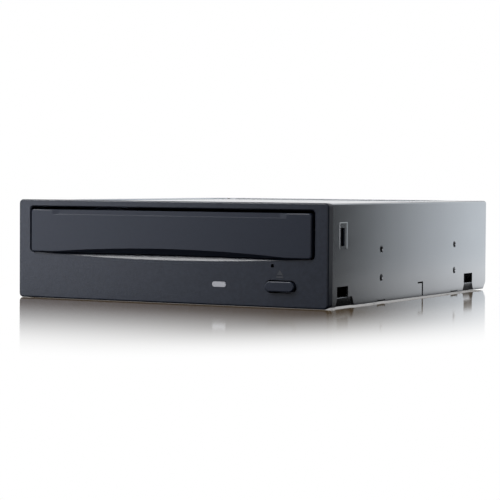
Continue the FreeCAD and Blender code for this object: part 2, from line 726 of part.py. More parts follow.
def rack_solid():
    # A straight rack on the tray's underside, with a gap level with the drive gear's axis
    pitch = math.pi * RACK_MODULE
    lean = math.tan(PRESSURE_ANGLE)
    tip = RACK_X - ADDENDUM * RACK_MODULE
    root = RACK_X + DEDENDUM * RACK_MODULE
    half = pitch / 4.0 - TOOTH_PLAY / 2.0
    at_tip = half - lean * ADDENDUM * RACK_MODULE
    at_root = half + lean * DEDENDUM * RACK_MODULE
    first = math.ceil((RACK_START_Y - DRIVE_GEAR_Y) / pitch)
    last = math.floor((RACK_END_Y - DRIVE_GEAR_Y) / pitch) - 1
    points = [vec(root, RACK_START_Y, RACK_LOW)]
    for tooth in range(first, last + 1):
        middle = DRIVE_GEAR_Y + (tooth + 0.5) * pitch
        if middle - at_root < RACK_START_Y:
            continue
        points.append(vec(root, middle - at_root, RACK_LOW))
        points.append(vec(tip, middle - at_tip, RACK_LOW))
        points.append(vec(tip, middle + at_tip, RACK_LOW))
        points.append(vec(root, middle + at_root, RACK_LOW))
    points.append(vec(root, RACK_END_Y, RACK_LOW))
    points.append(vec(RACK_BACK_X, RACK_END_Y, RACK_LOW))
    points.append(vec(RACK_BACK_X, RACK_START_Y, RACK_LOW))
    return polygon(points).extrude(vec(0, 0, TRAY_UNDER - RACK_LOW))


# Case

def mount_rows_y():
    return (MOUNT_FIRST_Y, MOUNT_FIRST_Y + MOUNT_PITCH_Y)


def ear_spans():
    # Window and pressed stretch of each ear along Y
    half = EAR_WINDOW_LENGTH / 2.0
    front = (EAR_FRONT_Y - half, EAR_FRONT_Y + half)
    rear = (EAR_REAR_Y - half, EAR_REAR_Y + half)
    return ((front, (front[0], front[1] + EAR_FRONT_EXTRA)), (rear, rear))


def case_shell():
    outer = centred_block(HALF_CASE, 0.0, CASE_DEPTH, CASE_LOW, CASE_TOP)
    inner = centred_block(WALL_INNER, -SHEET, REAR_INNER, CASE_LOW - SHEET, ROOF_INNER)
    top_long = edges_along(outer, vec(0, 1, 0), lambda c: c.z > CASE_TOP - SHEET)
    top_rear = edges_along(outer, vec(1, 0, 0), lambda c: c.z > ROOF_INNER and c.y > REAR_INNER)
    outer = outer.makeFillet(BEND_RADIUS, top_long + top_rear)
    inner_radius = max(BEND_RADIUS - SHEET, SHEET / 4.0)
    top_long = edges_along(inner, vec(0, 1, 0), lambda c: c.z > ROOF_INNER - SHEET)
    top_rear = edges_along(inner, vec(1, 0, 0), lambda c: c.z > ROOF_INNER - SHEET and c.y > 0)
    inner = inner.makeFillet(inner_radius, top_long + top_rear)
    shell = outer.cut(inner)
    slit = block(WALL_INNER - CORNER_SLIT, WALL_INNER, REAR_INNER - SHEET, CASE_DEPTH + SHEET,
                 CASE_LOW - SHEET, CASE_LOW + CORNER_SLIT_HEIGHT)
    corner = polygon([vec(WALL_INNER - SHEET, CASE_DEPTH + SHEET, CASE_LOW - SHEET),
                      vec(WALL_INNER - SHEET, CASE_DEPTH + SHEET, CASE_LOW + REAR_CHAMFER + SHEET),
                      vec(WALL_INNER - SHEET, CASE_DEPTH - REAR_CHAMFER - SHEET, CASE_LOW - SHEET)])
    corner = corner.extrude(vec(CUT_FAR, 0, 0))
    return without(shell, both_sides([slit, corner]))


def top_panel_tools():
    # A shallow rounded panel pressed down in the roof
    margin = TOP_PANEL_MARGIN

    def pad(grow, z0, z1):
        shape = centred_block(HALF_CASE - margin + grow, margin - grow,
                              CASE_DEPTH - margin + grow, z0, z1)
        return shape.makeFillet(TOP_PANEL_CORNER, edges_along(shape, vec(0, 0, 1), lambda c: True))
    added = pad(SHEET, ROOF_INNER - TOP_PANEL_DEPTH, ROOF_INNER + SHEET / 2.0)
    removed = pad(0.0, CASE_TOP - TOP_PANEL_DEPTH, CASE_TOP + SHEET)
    return added, removed


def ear_form(face_x, y0, y1, z_low, z_high):
    # The room behind a wall face that an ear is pressed into: deeper and wider lower down
    def outline(z):
        share = (EAR_TOP - z) / EAR_HEIGHT
        depth = EAR_TOP_DEPTH + (EAR_PRESS_DEPTH - EAR_TOP_DEPTH) * share
        wide = EAR_FLARE * share
        run = EAR_SIDE_RUN * depth / EAR_PRESS_DEPTH
        points = [vec(face_x, y0 - wide, z), vec(face_x - depth, y0 - wide + run, z),
                  vec(face_x - depth, y1 + wide - run, z), vec(face_x, y1 + wide, z)]
        return Part.makePolygon(points + points[:1])
    return Part.makeLoft([outline(z_low), outline(z_high)], True, True)


def ear_solids(window, pressed):
    # The strip under the window is pressed in, and a flange is folded inwards from it
    strip = ear_form(WALL_INNER, pressed[0], pressed[1], CASE_LOW, EAR_TOP + SHEET)
    fold_x = HALF_CASE - EAR_TOP_DEPTH
    flange = block(WALL_INNER - EAR_FLANGE_REACH, fold_x, window[0], window[1], EAR_UNDER, EAR_TOP)
    pocket = ear_form(HALF_CASE, pressed[0] + SHEET / 2.0, pressed[1] - SHEET / 2.0,
                      CASE_LOW - SHEET, EAR_TOP)
    fold = block(fold_x - EAR_FOLD_R, HALF_CASE + SHEET, window[0], window[1],
                 EAR_TOP - EAR_FOLD_R, EAR_TOP + SHEET / 2.0)
    fold = fold.cut(rod_along_y(fold_x - EAR_FOLD_R, EAR_TOP - EAR_FOLD_R, window[0], window[1],
                                EAR_FOLD_R))
    opening = block(WALL_INNER - SHEET, HALF_CASE + SHEET, window[0], window[1],
                    EAR_TOP, CASE_LOW + EAR_WINDOW_TOP)
    hole_y = (window[0] + window[1]) / 2.0
    hole = disc(COVER_SCREW_X, hole_y, EAR_UNDER - SHEET, EAR_TOP + SHEET, COVER_SCREW_R + THREAD_GAP)
    return [strip, flange], [pocket, fold, opening, hole]


def clip_solids():
    # A raised pad round the slot that catches the bezel's clip
    y0 = CLIP_SLOT_Y - CLIP_PAD_BEFORE
    y1 = CLIP_SLOT_Y + CLIP_SLOT_WIDTH + CLIP_PAD_BEHIND
    z0 = CASE_LOW + CLIP_SLOT_LOW - CLIP_PAD_BELOW
    z1 = CASE_LOW + CLIP_SLOT_LOW + CLIP_SLOT_HEIGHT + CLIP_PAD_ABOVE
    raise_by = CLIP_PAD_RAISE
    slopes = ((raise_by, raise_by), (CLIP_PAD_SLOPE, raise_by))
    pad = tapered_block("x", HALF_CASE, HALF_CASE + raise_by, (y0, z0), (y1, z1), *slopes)
    pocket = tapered_block("x", WALL_INNER, WALL_INNER + raise_by, (y0, z0), (y1, z1), *slopes)
    slot = block(WALL_INNER - SHEET, HALF_CASE + SHEET, CLIP_SLOT_Y, CLIP_SLOT_Y + CLIP_SLOT_WIDTH,
                 CASE_LOW + CLIP_SLOT_LOW, CASE_LOW + CLIP_SLOT_LOW + CLIP_SLOT_HEIGHT)
    return [pad], [pocket, slot]


def side_hole_solids(y, z):
    collar = rod_along_x(y, z, WALL_INNER - MOUNT_COLLAR_LENGTH, WALL_INNER + SHEET / 2.0,
                         MOUNT_COLLAR_R)
    hole = rod_along_x(y, z, WALL_INNER - 2.0 * MOUNT_COLLAR_LENGTH, HALF_CASE + SHEET, MOUNT_HOLE_R)
    edge_break = Part.makeCone(MOUNT_HOLE_R, MOUNT_HOLE_R + 2.0 * MOUNT_EDGE_BREAK,
                               2.0 * MOUNT_EDGE_BREAK, vec(HALF_CASE - MOUNT_EDGE_BREAK, y, z),
                               vec(1, 0, 0))
    return [collar], [hole, edge_break]


def bottom_tab_solids(y):
    # A tab folded inwards at the wall's lower edge, with the underside mounting hole
    half = BOTTOM_TAB_WIDTH / 2.0
    tab = block(WALL_INNER - BOTTOM_TAB_REACH, WALL_INNER + SHEET / 2.0, y - half, y + half,
                CASE_LOW, FLOOR_TOP)
    hole = disc(BOTTOM_HOLE_X, y, CASE_LOW - SHEET, FLOOR_TOP + SHEET, MOUNT_HOLE_R)
    fold = block(HALF_CASE - SHEET, HALF_CASE + SHEET, y - half, y + half, CASE_LOW - SHEET, FLOOR_TOP)
    fold = fold.cut(rod_along_y(HALF_CASE - SHEET, FLOOR_TOP, y - half, y + half, SHEET))
    reliefs = [block(WALL_INNER - SHEET, HALF_CASE + SHEET, start, start + TAB_RELIEF_WIDTH,
                     CASE_LOW - SHEET, CASE_LOW + TAB_RELIEF_HEIGHT)
               for start in (y + half, y - half - TAB_RELIEF_WIDTH)]
    return [tab], [hole, fold] + reliefs


def make_top_cover():
    panel_added, panel_removed = top_panel_tools()
    added = []
    removed = []
    for window, pressed in ear_spans():
        more, less = ear_solids(window, pressed)
        added += more
        removed += less
    more, less = clip_solids()
    added += more
    removed += less
    for y in mount_rows_y():
        for z in (CASE_LOW + SIDE_HOLE_LOW, CASE_LOW + SIDE_HOLE_LOW + SIDE_HOLE_RISE):
            more, less = side_hole_solids(y, z)
            added += more
            removed += less
        more, less = bottom_tab_solids(y)
        added += more
        removed += less
    removed.append(block(WALL_INNER - SHEET, HALF_CASE + SHEET, SLIT_Y, SLIT_Y + SLIT_WIDTH,
                         CASE_LOW - SHEET, CASE_LOW + SLIT_HEIGHT))
    removed.append(block(WALL_INNER - SHEET, HALF_CASE + SHEET, SLIT_Y - SLIT_RUN,
                         SLIT_Y + SLIT_WIDTH, CASE_LOW + SLIT_HEIGHT - SLIT_TOP_WIDTH,
                         CASE_LOW + SLIT_HEIGHT))
    socket_window = block(SOCKET_LEFT - SOCKET_WINDOW_GAP,
                          SOCKET_LEFT + SOCKET_WIDTH + SOCKET_WINDOW_GAP,
                          REAR_INNER - SHEET, CASE_DEPTH + SHEET,
                          BOARD_TOP - SOCKET_WINDOW_GAP, BOARD_TOP + SOCKET_HEIGHT + SOCKET_WINDOW_GAP)
    shell = joined([case_shell(), panel_added] + both_sides(added))
    return without(shell, both_sides(removed) + [panel_removed, socket_window])


def make_bottom_cover():
    # A flat plate with screw dimples, stiffening beads and notches at the folded tabs
    half = WALL_INNER - COVER_GAP
    plate = centred_block(half, COVER_GAP, REAR_INNER - COVER_GAP, CASE_LOW, FLOOR_TOP)
    rise = EAR_UNDER - FLOOR_TOP
    added = []
    removed = []
    for y in (EAR_FRONT_Y, EAR_REAR_Y):
        place = vec(COVER_SCREW_X, y, FLOOR_TOP)
        added.append(Part.makeCone(DIMPLE_TOP_R + DIMPLE_FLARE, DIMPLE_TOP_R, rise, place))
        hollow = vec(COVER_SCREW_X, y, CASE_LOW)
        removed.append(Part.makeCone(DIMPLE_TOP_R + DIMPLE_FLARE - SHEET / 2.0,
                                     DIMPLE_TOP_R - SHEET / 2.0, rise, hollow))
        removed.append(disc(COVER_SCREW_X, y, CASE_LOW, EAR_TOP, COVER_SCREW_R + CLEARANCE))
    for window, pressed in ear_spans():
        removed.append(block(WALL_INNER - EAR_PRESS_DEPTH - COVER_GAP, HALF_CASE,
                             pressed[0] - EAR_FLARE - COVER_GAP, pressed[1] + EAR_FLARE + COVER_GAP,
                             CASE_LOW - SHEET, FLOOR_TOP + SHEET))
    for y in mount_rows_y():
        reach = BOTTOM_TAB_WIDTH / 2.0 + TAB_RELIEF_WIDTH
        removed.append(block(WALL_INNER - BOTTOM_TAB_REACH - COVER_GAP, HALF_CASE,
                             y - reach, y + reach, CASE_LOW - SHEET, FLOOR_TOP + SHEET))
    plate = joined([plate] + both_sides(added))
    plate = without(plate, both_sides(removed))
    for y in BEAD_PLACES_Y:
        low = (-BEAD_LENGTH / 2.0, y - BEAD_WIDTH / 2.0)
        high = (BEAD_LENGTH / 2.0, y + BEAD_WIDTH / 2.0)
        slope = (BEAD_HEIGHT, BEAD_HEIGHT)
        bead = tapered_block("z", FLOOR_TOP, FLOOR_TOP + BEAD_HEIGHT, low, high, slope)
        groove = tapered_block("z", CASE_LOW, CASE_LOW + BEAD_HEIGHT, low, high, slope)
        plate = plate.fuse(bead).cut(groove)
    return plate.removeSplitter()


def make_cover_screws():
    screws = []
    head_top = EAR_UNDER - SHEET
    for y in (EAR_FRONT_Y, EAR_REAR_Y):
        for x in (-COVER_SCREW_X, COVER_SCREW_X):
            head = disc(x, y, head_top - COVER_SCREW_HEAD_HEIGHT, head_top, COVER_SCREW_HEAD_R)
            shank = disc(x, y, head_top, EAR_TOP + COVER_SCREW_BITE, COVER_SCREW_R)
            screws.append(joined([head, shank]))
    return Part.makeCompound(screws)


# Bezel, door and controls

def rounded_outline(half, z0, z1, radius, y):
    rim = block(-half, half, y, y + CUT_PAST, z0, z1)
    rim = rim.makeFillet(radius, edges_along(rim, vec(0, 1, 0), lambda c: True))
    face = [f for f in rim.Faces if abs(f.CenterOfMass.y - y) < TINY][0]
    return face.OuterWire


def bezel_body():
    straight = BEZEL_FRONT + BEZEL_STRAIGHT
    outlines = [rounded_outline(BEZEL_HALF, 0.0, BEZEL_TOP, BEZEL_CORNER, y)
                for y in (BEZEL_FRONT, straight)]
    outlines.append(rounded_outline(BEZEL_HALF - BEZEL_TAPER, BEZEL_TAPER,
                                    BEZEL_TOP - BEZEL_TOP_LIP / 2.0, BEZEL_CORNER, 0.0))
    body = Part.makeLoft(outlines, True, True)
    face = min(body.Faces, key=lambda f: f.CenterOfMass.y)
    body = body.makeFillet(BEZEL_EDGE_ROUND, face.OuterWire.Edges)
    hollow = centred_block(BEZEL_HALF - BEZEL_TAPER - BEZEL_RIM, BEZEL_FRONT + BEZEL_WALL, CUT_PAST,
                           BEZEL_TAPER + BEZEL_RIM, BEZEL_TOP - BEZEL_TOP_LIP - BEZEL_RIM)
    return body.cut(hollow)


def bezel_window():
    window = centred_block(WINDOW_HALF, BEZEL_FRONT - CUT_PAST, CUT_PAST, WINDOW_LOW, WINDOW_TOP)
    window = window.makeFillet(WINDOW_CORNER, edges_along(window, vec(0, 1, 0), lambda c: True))
    flare = WINDOW_CHAMFER
    mouth = Part.makeLoft([
        rounded_outline(WINDOW_HALF + 2.0 * flare, WINDOW_LOW, WINDOW_TOP + 2.0 * flare,
                        WINDOW_CORNER, BEZEL_FRONT - flare),
        rounded_outline(WINDOW_HALF, WINDOW_LOW, WINDOW_TOP, WINDOW_CORNER, BEZEL_FRONT + flare)],
        True, True)
    return [window, mouth]


def grip_tool(half, z_end, z_middle, z_closing, y_face, depth, rise):
    # A sloping cut whose edge on the face is a shallow arc
    ahead = CUT_PAST
    slope = rise / depth
    drop = slope * ahead
    face = arc_segment(half, z_end - drop, z_middle - drop, z_closing, y_face - ahead)
    run = ahead + depth
    return face.extrude(vec(0, run, slope * run))


def bezel_grip():
    middle = WINDOW_LOW - GRIP_BEZEL_DROP
    end = WINDOW_LOW - GRIP_BEZEL_END_DROP
    lifted = WINDOW_LOW + DOOR_HEIGHT / 4.0
    hollow = grip_tool(GRIP_HALF, end, middle, lifted, BEZEL_FRONT, GRIP_BEZEL_DEPTH + GRIP_RUN_ON,
                       GRIP_BEZEL_DROP + GRIP_RUN_ON)
    lip = arc_segment(GRIP_HALF, end, middle - GRIP_LIP_DROP, lifted, BEZEL_FRONT - CUT_PAST)
    return [hollow, lip.extrude(vec(0, CUT_PAST + GRIP_LIP_DEPTH, 0))]


def bezel_clip():
    # A springy arm behind the bezel whose hook stands in the slot of the case
    outer = WALL_INNER - CLEARANCE
    z0 = CASE_LOW + CLIP_SLOT_LOW + CLIP_HOOK_PLAY
    z1 = CASE_LOW + CLIP_SLOT_LOW + CLIP_SLOT_HEIGHT - CLIP_HOOK_PLAY
    y0 = CLIP_SLOT_Y + CLIP_HOOK_PLAY
    y1 = CLIP_SLOT_Y + CLIP_SLOT_WIDTH - CLIP_HOOK_PLAY
    inner = outer - CLIP_ARM_THICK
    nose = HALF_CASE - CLIP_HOOK_PLAY
    points = [(inner, -BEZEL_DEPTH + BEZEL_WALL), (outer, -BEZEL_DEPTH + BEZEL_WALL), (outer, y0),
              (nose, y0), (nose, y0 + (y1 - y0) / 2.0), (outer, y1), (inner, y1 + CLEARANCE)]
    return polygon([vec(x, y, z0) for x, y in points]).extrude(vec(0, 0, z1 - z0))


def bezel_tongues():
    tongues = []
    half = BEZEL_TONGUE_WIDTH / 2.0
    start = BEZEL_FRONT + BEZEL_WALL
    for x in (-BEZEL_TONGUE_X, BEZEL_TONGUE_X):
        low = FLOOR_TOP + CLEARANCE
        tongues.append(block(x - half, x + half, start, BEZEL_TONGUE_REACH, low,
                             low + BEZEL_TONGUE_THICK))
        high = ROOF_INNER - CLEARANCE
        tongues.append(block(x - half, x + half, start, BEZEL_TONGUE_REACH,
                             high - BEZEL_TONGUE_THICK, high))
    return tongues


def make_bezel():
    back = BEZEL_FRONT + BEZEL_WALL
    surround = centred_block(WINDOW_HALF + BEZEL_RIM, back, 0.0, WINDOW_LOW - WINDOW_LOWER_WALL,
                             BEZEL_TOP - BEZEL_TOP_LIP - BEZEL_RIM)
    collar_end = BEZEL_FRONT + BUTTON_COLLAR_LENGTH
    opening_width = BUTTON_WIDTH + 2.0 * BUTTON_GAP
    opening_height = BUTTON_HEIGHT + 2.0 * BUTTON_GAP
    collar = stadium(BUTTON_X, BUTTON_Z, opening_width + 2.0 * BUTTON_COLLAR,
                     opening_height + 2.0 * BUTTON_COLLAR, back - CUT_PAST, collar_end)
    body = joined([bezel_body(), surround, collar] + bezel_tongues() + both_sides([bezel_clip()]))
    tools = bezel_window() + bezel_grip()
    tools.append(stadium(BUTTON_X, BUTTON_Z, opening_width, opening_height, BEZEL_FRONT - CUT_PAST,
                         CUT_PAST))
    tools.append(stadium(LIGHT_X, LIGHT_Z, LIGHT_WIDTH + 2.0 * LIGHT_GAP,
                         LIGHT_HEIGHT + 2.0 * LIGHT_GAP, BEZEL_FRONT - CUT_PAST, back + CUT_PAST))
    tools.append(rod_along_y(PINHOLE_X, PINHOLE_Z, BEZEL_FRONT - CUT_PAST, back + CUT_PAST, PINHOLE_R))
    return without(body, tools)


def door_crease():
    # Above a narrow ledge the face lies a little deeper; the ledge fades out at both ends
    def section(x, share):
        edge = DOOR_TOP - DOOR_CREASE_DROP
        step = DOOR_CREASE_STEP * share
        lean = DOOR_CREASE_LEAN * share
        return Part.makePolygon([
            vec(x, DOOR_FRONT, edge),
            vec(x, DOOR_FRONT + step, edge + step),
            vec(x, DOOR_FRONT + step + lean, DOOR_TOP + CUT_PAST),
            vec(x, DOOR_FRONT - CUT_PAST, DOOR_TOP + CUT_PAST),
            vec(x, DOOR_FRONT - CUT_PAST, edge),
            vec(x, DOOR_FRONT, edge)])
    end = DOOR_CREASE_HALF + DOOR_CREASE_FADE
    stations = [(-end, DOOR_CREASE_FAINT), (-DOOR_CREASE_HALF, 1), (DOOR_CREASE_HALF, 1),
                (end, DOOR_CREASE_FAINT)]
    return Part.makeLoft([section(x, share) for x, share in stations], True, True)


def make_tray_door():
    door = centred_block(DOOR_HALF, DOOR_FRONT, DOOR_FRONT + DOOR_DEPTH, DOOR_LOW, DOOR_TOP)
    door = door.makeFillet(DOOR_CORNER, edges_along(door, vec(0, 1, 0), lambda c: True))
    face = min(door.Faces, key=lambda f: f.CenterOfMass.y)
    door = door.makeFillet(DOOR_EDGE_ROUND, face.OuterWire.Edges)
    door = door.cut(door_crease())
    grip = grip_tool(GRIP_DOOR_HALF, DOOR_LOW, DOOR_LOW + GRIP_DOOR_RISE, DOOR_LOW - DOOR_HEIGHT,
                     DOOR_FRONT, GRIP_DOOR_DEPTH, -GRIP_DOOR_RISE)
    hollow = centred_block(DOOR_HALF - DOOR_RIM, DOOR_INNER, DOOR_FRONT + DOOR_DEPTH + CUT_PAST,
                           DOOR_LOW + DOOR_RIM + TRAY_FLANGE_GAP, DOOR_TOP - DOOR_RIM)
    return without(door, [grip, hollow])


def make_eject_button():
    collar_end = BEZEL_FRONT + BUTTON_COLLAR_LENGTH
    cap = stadium(BUTTON_X, BUTTON_Z, BUTTON_WIDTH, BUTTON_HEIGHT, BUTTON_FRONT,
                  collar_end + CLEARANCE)
    face = min(cap.Faces, key=lambda f: f.CenterOfMass.y)
    cap = cap.makeFillet(BUTTON_EDGE_ROUND, face.OuterWire.Edges)
    flange_start = collar_end + CLEARANCE
    flange_end = flange_start + BUTTON_FLANGE_THICK
    flange = stadium(BUTTON_X, BUTTON_Z, BUTTON_WIDTH + 2.0 * (BUTTON_GAP + BUTTON_FLANGE),
                     BUTTON_HEIGHT + 2.0 * (BUTTON_GAP + BUTTON_FLANGE), flange_start, flange_end)
    stem = rod_along_y(BUTTON_X, BUTTON_Z, flange_end, BUTTON_STEM_LENGTH, BUTTON_STEM_R)
    return joined([cap, flange, stem])


def make_light_window():
    back = BEZEL_FRONT + BEZEL_WALL
    lens = stadium(LIGHT_X, LIGHT_Z, LIGHT_WIDTH, LIGHT_HEIGHT, BEZEL_FRONT, back)
    flange = stadium(LIGHT_X, LIGHT_Z, LIGHT_WIDTH + 2.0 * LIGHT_FLANGE,
                     LIGHT_HEIGHT + 2.0 * LIGHT_FLANGE, back, back + LIGHT_FLANGE_THICK)
    pipe = block(LIGHT_X - LIGHT_PIPE_WIDTH / 2.0, LIGHT_X + LIGHT_PIPE_WIDTH / 2.0, back,
                 LIGHT_PIPE_REACH, LIGHT_Z - LIGHT_PIPE_HEIGHT / 2.0,
                 LIGHT_Z + LIGHT_PIPE_HEIGHT / 2.0)
    return joined([lens, flange, pipe])


# Tray

def make_tray():
    plate = centred_block(TRAY_HALF, TRAY_FRONT, TRAY_REAR, TRAY_UNDER, TRAY_RIM_Z)
    rail = block(TRAY_HALF - TRAY_RAIL_WIDTH, TRAY_HALF, TRAY_FRONT, TRAY_REAR,
                 TRAY_RAIL_LOW, TRAY_UNDER)
    flange_low = DOOR_LOW + DOOR_RIM + 2.0 * TRAY_FLANGE_GAP
    flange = centred_block(TRAY_FLANGE_HALF, DOOR_INNER, TRAY_FRONT, flange_low,
                           DOOR_TOP - DOOR_RIM - TRAY_FLANGE_TOP_GAP)
    wells = [
        disc(0, DISC_Y, LEDGE_Z, TRAY_RIM_Z + CUT_PAST, DISC_WELL_R),
        disc(0, DISC_Y, INNER_WELL_Z, TRAY_RIM_Z, DISC_WELL_R - DISC_LEDGE_WIDTH),
        disc(0, DISC_Y, SMALL_WELL_Z, TRAY_RIM_Z, SMALL_DISC_WELL_R)]
    for y in (-1, 1):
        reach = math.sqrt(DISC_WELL_R ** 2 - FINGER_NOTCH_X ** 2)
        for x in (-FINGER_NOTCH_X, FINGER_NOTCH_X):
            wells.append(disc(x, DISC_Y + y * reach, SMALL_WELL_Z, TRAY_RIM_Z + CUT_PAST,
                              FINGER_NOTCH_R))
    slot = centred_block(TRAY_SLOT_HALF, DISC_Y, TRAY_REAR + CUT_PAST, TRAY_RAIL_LOW,
                         TRAY_RIM_Z + CUT_PAST)
    slot_end = disc(0, DISC_Y, TRAY_RAIL_LOW, TRAY_RIM_Z + CUT_PAST, TRAY_SLOT_HALF)
    body = joined([plate, flange, rack_solid()] + both_sides([rail]))
    return without(body, wells + [slot, slot_end])


# Loading drive

def make_drive_gear():
    wheel = gear_solid(DRIVE_GEAR_X, DRIVE_GEAR_Y, WHEEL_LOW, WHEEL_TOP, WHEEL_TEETH,
                       WHEEL_MODULE, 0.0)
    pinion = gear_solid(DRIVE_GEAR_X, DRIVE_GEAR_Y, WHEEL_TOP, RACK_PINION_TOP,
                        RACK_PINION_TEETH, RACK_MODULE, 0.0)
    bore = disc(DRIVE_GEAR_X, DRIVE_GEAR_Y, WHEEL_LOW - CUT_PAST, TRAY_UNDER + CUT_PAST,
                GEAR_PIN_R + RUNNING_GAP)
    return without(joined([wheel, pinion]), [bore])


def make_pulley_gear():
    x, y = PULLEY_GEAR_X, PULLEY_GEAR_Y
    phase = meshing_phase(0.0, WHEEL_TEETH, GEAR_LINE_ANGLE, PULLEY_PINION_TEETH)
    pulley = disc(x, y, PULLEY_LOW, PULLEY_TOP, PULLEY_R)
    groove_low = BELT_LOW - BELT_GAP
    groove_top = BELT_LOW + BELT_SECTION + BELT_GAP
    groove = ring(x, y, groove_low, groove_top, PULLEY_R + CUT_PAST, PULLEY_R - PULLEY_GROOVE_DEPTH)
    pinion = gear_solid(x, y, PULLEY_TOP, WHEEL_TOP, PULLEY_PINION_TEETH, WHEEL_MODULE, phase)
    bore = disc(x, y, PULLEY_LOW - CUT_PAST, WHEEL_TOP + CUT_PAST, GEAR_PIN_R + RUNNING_GAP)
    return without(joined([pulley.cut(groove), pinion]), [bore])


def make_motor_pulley():
    body = disc(MOTOR_X, MOTOR_Y, PULLEY_LOW, PULLEY_TOP, MOTOR_PULLEY_R)
    groove = ring(MOTOR_X, MOTOR_Y, BELT_LOW - BELT_GAP, BELT_LOW + BELT_SECTION + BELT_GAP,
                  MOTOR_PULLEY_R + CUT_PAST, MOTOR_PULLEY_R - MOTOR_PULLEY_GROOVE_DEPTH)
    bore = disc(MOTOR_X, MOTOR_Y, PULLEY_LOW - CUT_PAST, PULLEY_TOP + CUT_PAST, MOTOR_SHAFT_R)
    return without(body, [groove, bore])


def make_motor_shaft():
    return disc(MOTOR_X, MOTOR_Y, MOTOR_CAN_BOTTOM + MOTOR_CAN_BASE, PULLEY_TOP, MOTOR_SHAFT_R)


def make_loading_motor():
    can = disc(MOTOR_X, MOTOR_Y, MOTOR_CAN_BOTTOM, MOTOR_CAN_TOP, MOTOR_R)
    neck = disc(MOTOR_X, MOTOR_Y, MOTOR_CAN_TOP, MOTOR_CAN_TOP + MOTOR_NECK_HEIGHT, MOTOR_NECK_R)
    bore = disc(MOTOR_X, MOTOR_Y, MOTOR_CAN_BOTTOM + MOTOR_CAN_BASE - RUNNING_GAP, PULLEY_TOP,
                MOTOR_SHAFT_R + RUNNING_GAP)
    holes = [disc(MOTOR_X, MOTOR_Y + side * MOTOR_SCREW_OFFSET, MOTOR_CAN_TOP - GEAR_FLOOR_THICK,
                  MOTOR_CAN_TOP, SMALL_SCREW_R + THREAD_GAP) for side in (-1, 1)]
    return without(joined([can, neck]), [bore] + holes)


def make_motor_screws():
    screws = []
    for side in (-1, 1):
        y = MOTOR_Y + side * MOTOR_SCREW_OFFSET
        head = disc(MOTOR_X, y, GEAR_FLOOR_TOP, GEAR_FLOOR_TOP + SMALL_SCREW_HEAD_HEIGHT,
                    SMALL_SCREW_HEAD_R)
        shank = disc(MOTOR_X, y, MOTOR_CAN_TOP - GEAR_FLOOR_THICK, GEAR_FLOOR_TOP, SMALL_SCREW_R)
        screws.append(joined([head, shank]))
    return Part.makeCompound(screws)


def belt_wire(small_r, large_r):
    # An open belt round both pulleys: two arcs joined by their outer tangents
    small = vec(MOTOR_X, MOTOR_Y, BELT_LOW)
    large = vec(PULLEY_GEAR_X, PULLEY_GEAR_Y, BELT_LOW)
    line = large.sub(small)
    heading = math.atan2(line.y, line.x)
    spread = math.acos((small_r - large_r) / line.Length)

    def at(centre, radius, angle):
        return centre.add(vec(radius * math.cos(angle), radius * math.sin(angle), 0))
    left, right = heading + spread, heading - spread
    small_arc = Part.Arc(at(small, small_r, left), at(small, small_r, heading + math.pi),
                         at(small, small_r, right)).toShape()
    large_arc = Part.Arc(at(large, large_r, right), at(large, large_r, heading),
                         at(large, large_r, left)).toShape()
    first = Part.makeLine(at(small, small_r, right), at(large, large_r, right))
    second = Part.makeLine(at(large, large_r, left), at(small, small_r, left))
    return Part.Wire([small_arc, first, large_arc, second])


def make_drive_belt():
    small = MOTOR_PULLEY_R - MOTOR_PULLEY_GROOVE_DEPTH + BELT_GAP
    large = PULLEY_R - PULLEY_GROOVE_DEPTH + BELT_GAP
    inner = Part.Face(belt_wire(small, large)).extrude(vec(0, 0, BELT_SECTION))
    outer = Part.Face(belt_wire(small + BELT_SECTION, large + BELT_SECTION))
    return outer.extrude(vec(0, 0, BELT_SECTION)).cut(inner)


# Loader frame

def hold_down(span):
    wall = block(FRAME_WALL_INNER, FRAME_OUTER, span[0], span[1], FRAME_WALL_TOP, HOLD_DOWN_TOP)
    lip = block(HOLD_DOWN_INNER, FRAME_OUTER, span[0], span[1], HOLD_DOWN_LOW, HOLD_DOWN_TOP)
    return [wall, lip]


def frame_side():
    wall = block(FRAME_WALL_INNER, FRAME_OUTER, FRAME_FRONT_Y, FRAME_REAR_Y, FRAME_LOW,
                 FRAME_WALL_TOP)
    ledge = block(FRAME_LEDGE_INNER, FRAME_OUTER, FRAME_FRONT_Y, FRAME_REAR_Y, LEDGE_UNDER,
                  LEDGE_TOP)
    solids = [wall, ledge]
    for span in FRONT_HOLD_DOWNS + (REAR_HOLD_DOWN,):
        solids += hold_down(span)
    for y in (EAR_FRONT_Y, EAR_REAR_Y):
        solids.append(disc(COVER_SCREW_X, y, EAR_TOP, LEDGE_UNDER, CORNER_BOSS_R))
    track_post = block(FRAME_LEDGE_INNER, FRAME_OUTER, CROSS_WALL_Y, TRACK_LIP_Y + TRACK_LIP_THICK,
                       TRACK_LOW, LEDGE_UNDER)
    board_arm = block(BOARD_ARM_X - POST_R, FRAME_OUTER, BOARD_ARM_Y - POST_R,
                      BOARD_ARM_Y + POST_R, BOARD_TOP, FRAME_LOW + FRAME_WALL)
    bracket = block(BOARD_POST_X - BRACKET_WIDTH / 2.0, BOARD_POST_X + BRACKET_WIDTH / 2.0,
                    FRAME_REAR_Y - FRAME_WALL - BRACKET_LENGTH, FRAME_REAR_Y,
                    FRAME_LOW + FRAME_WALL, LEDGE_TOP)
    board_post = disc(BOARD_POST_X, BOARD_POST_Y, BOARD_TOP, FRAME_LOW + 2.0 * FRAME_WALL, POST_R)
    return solids + [track_post, board_arm, bracket, board_post]


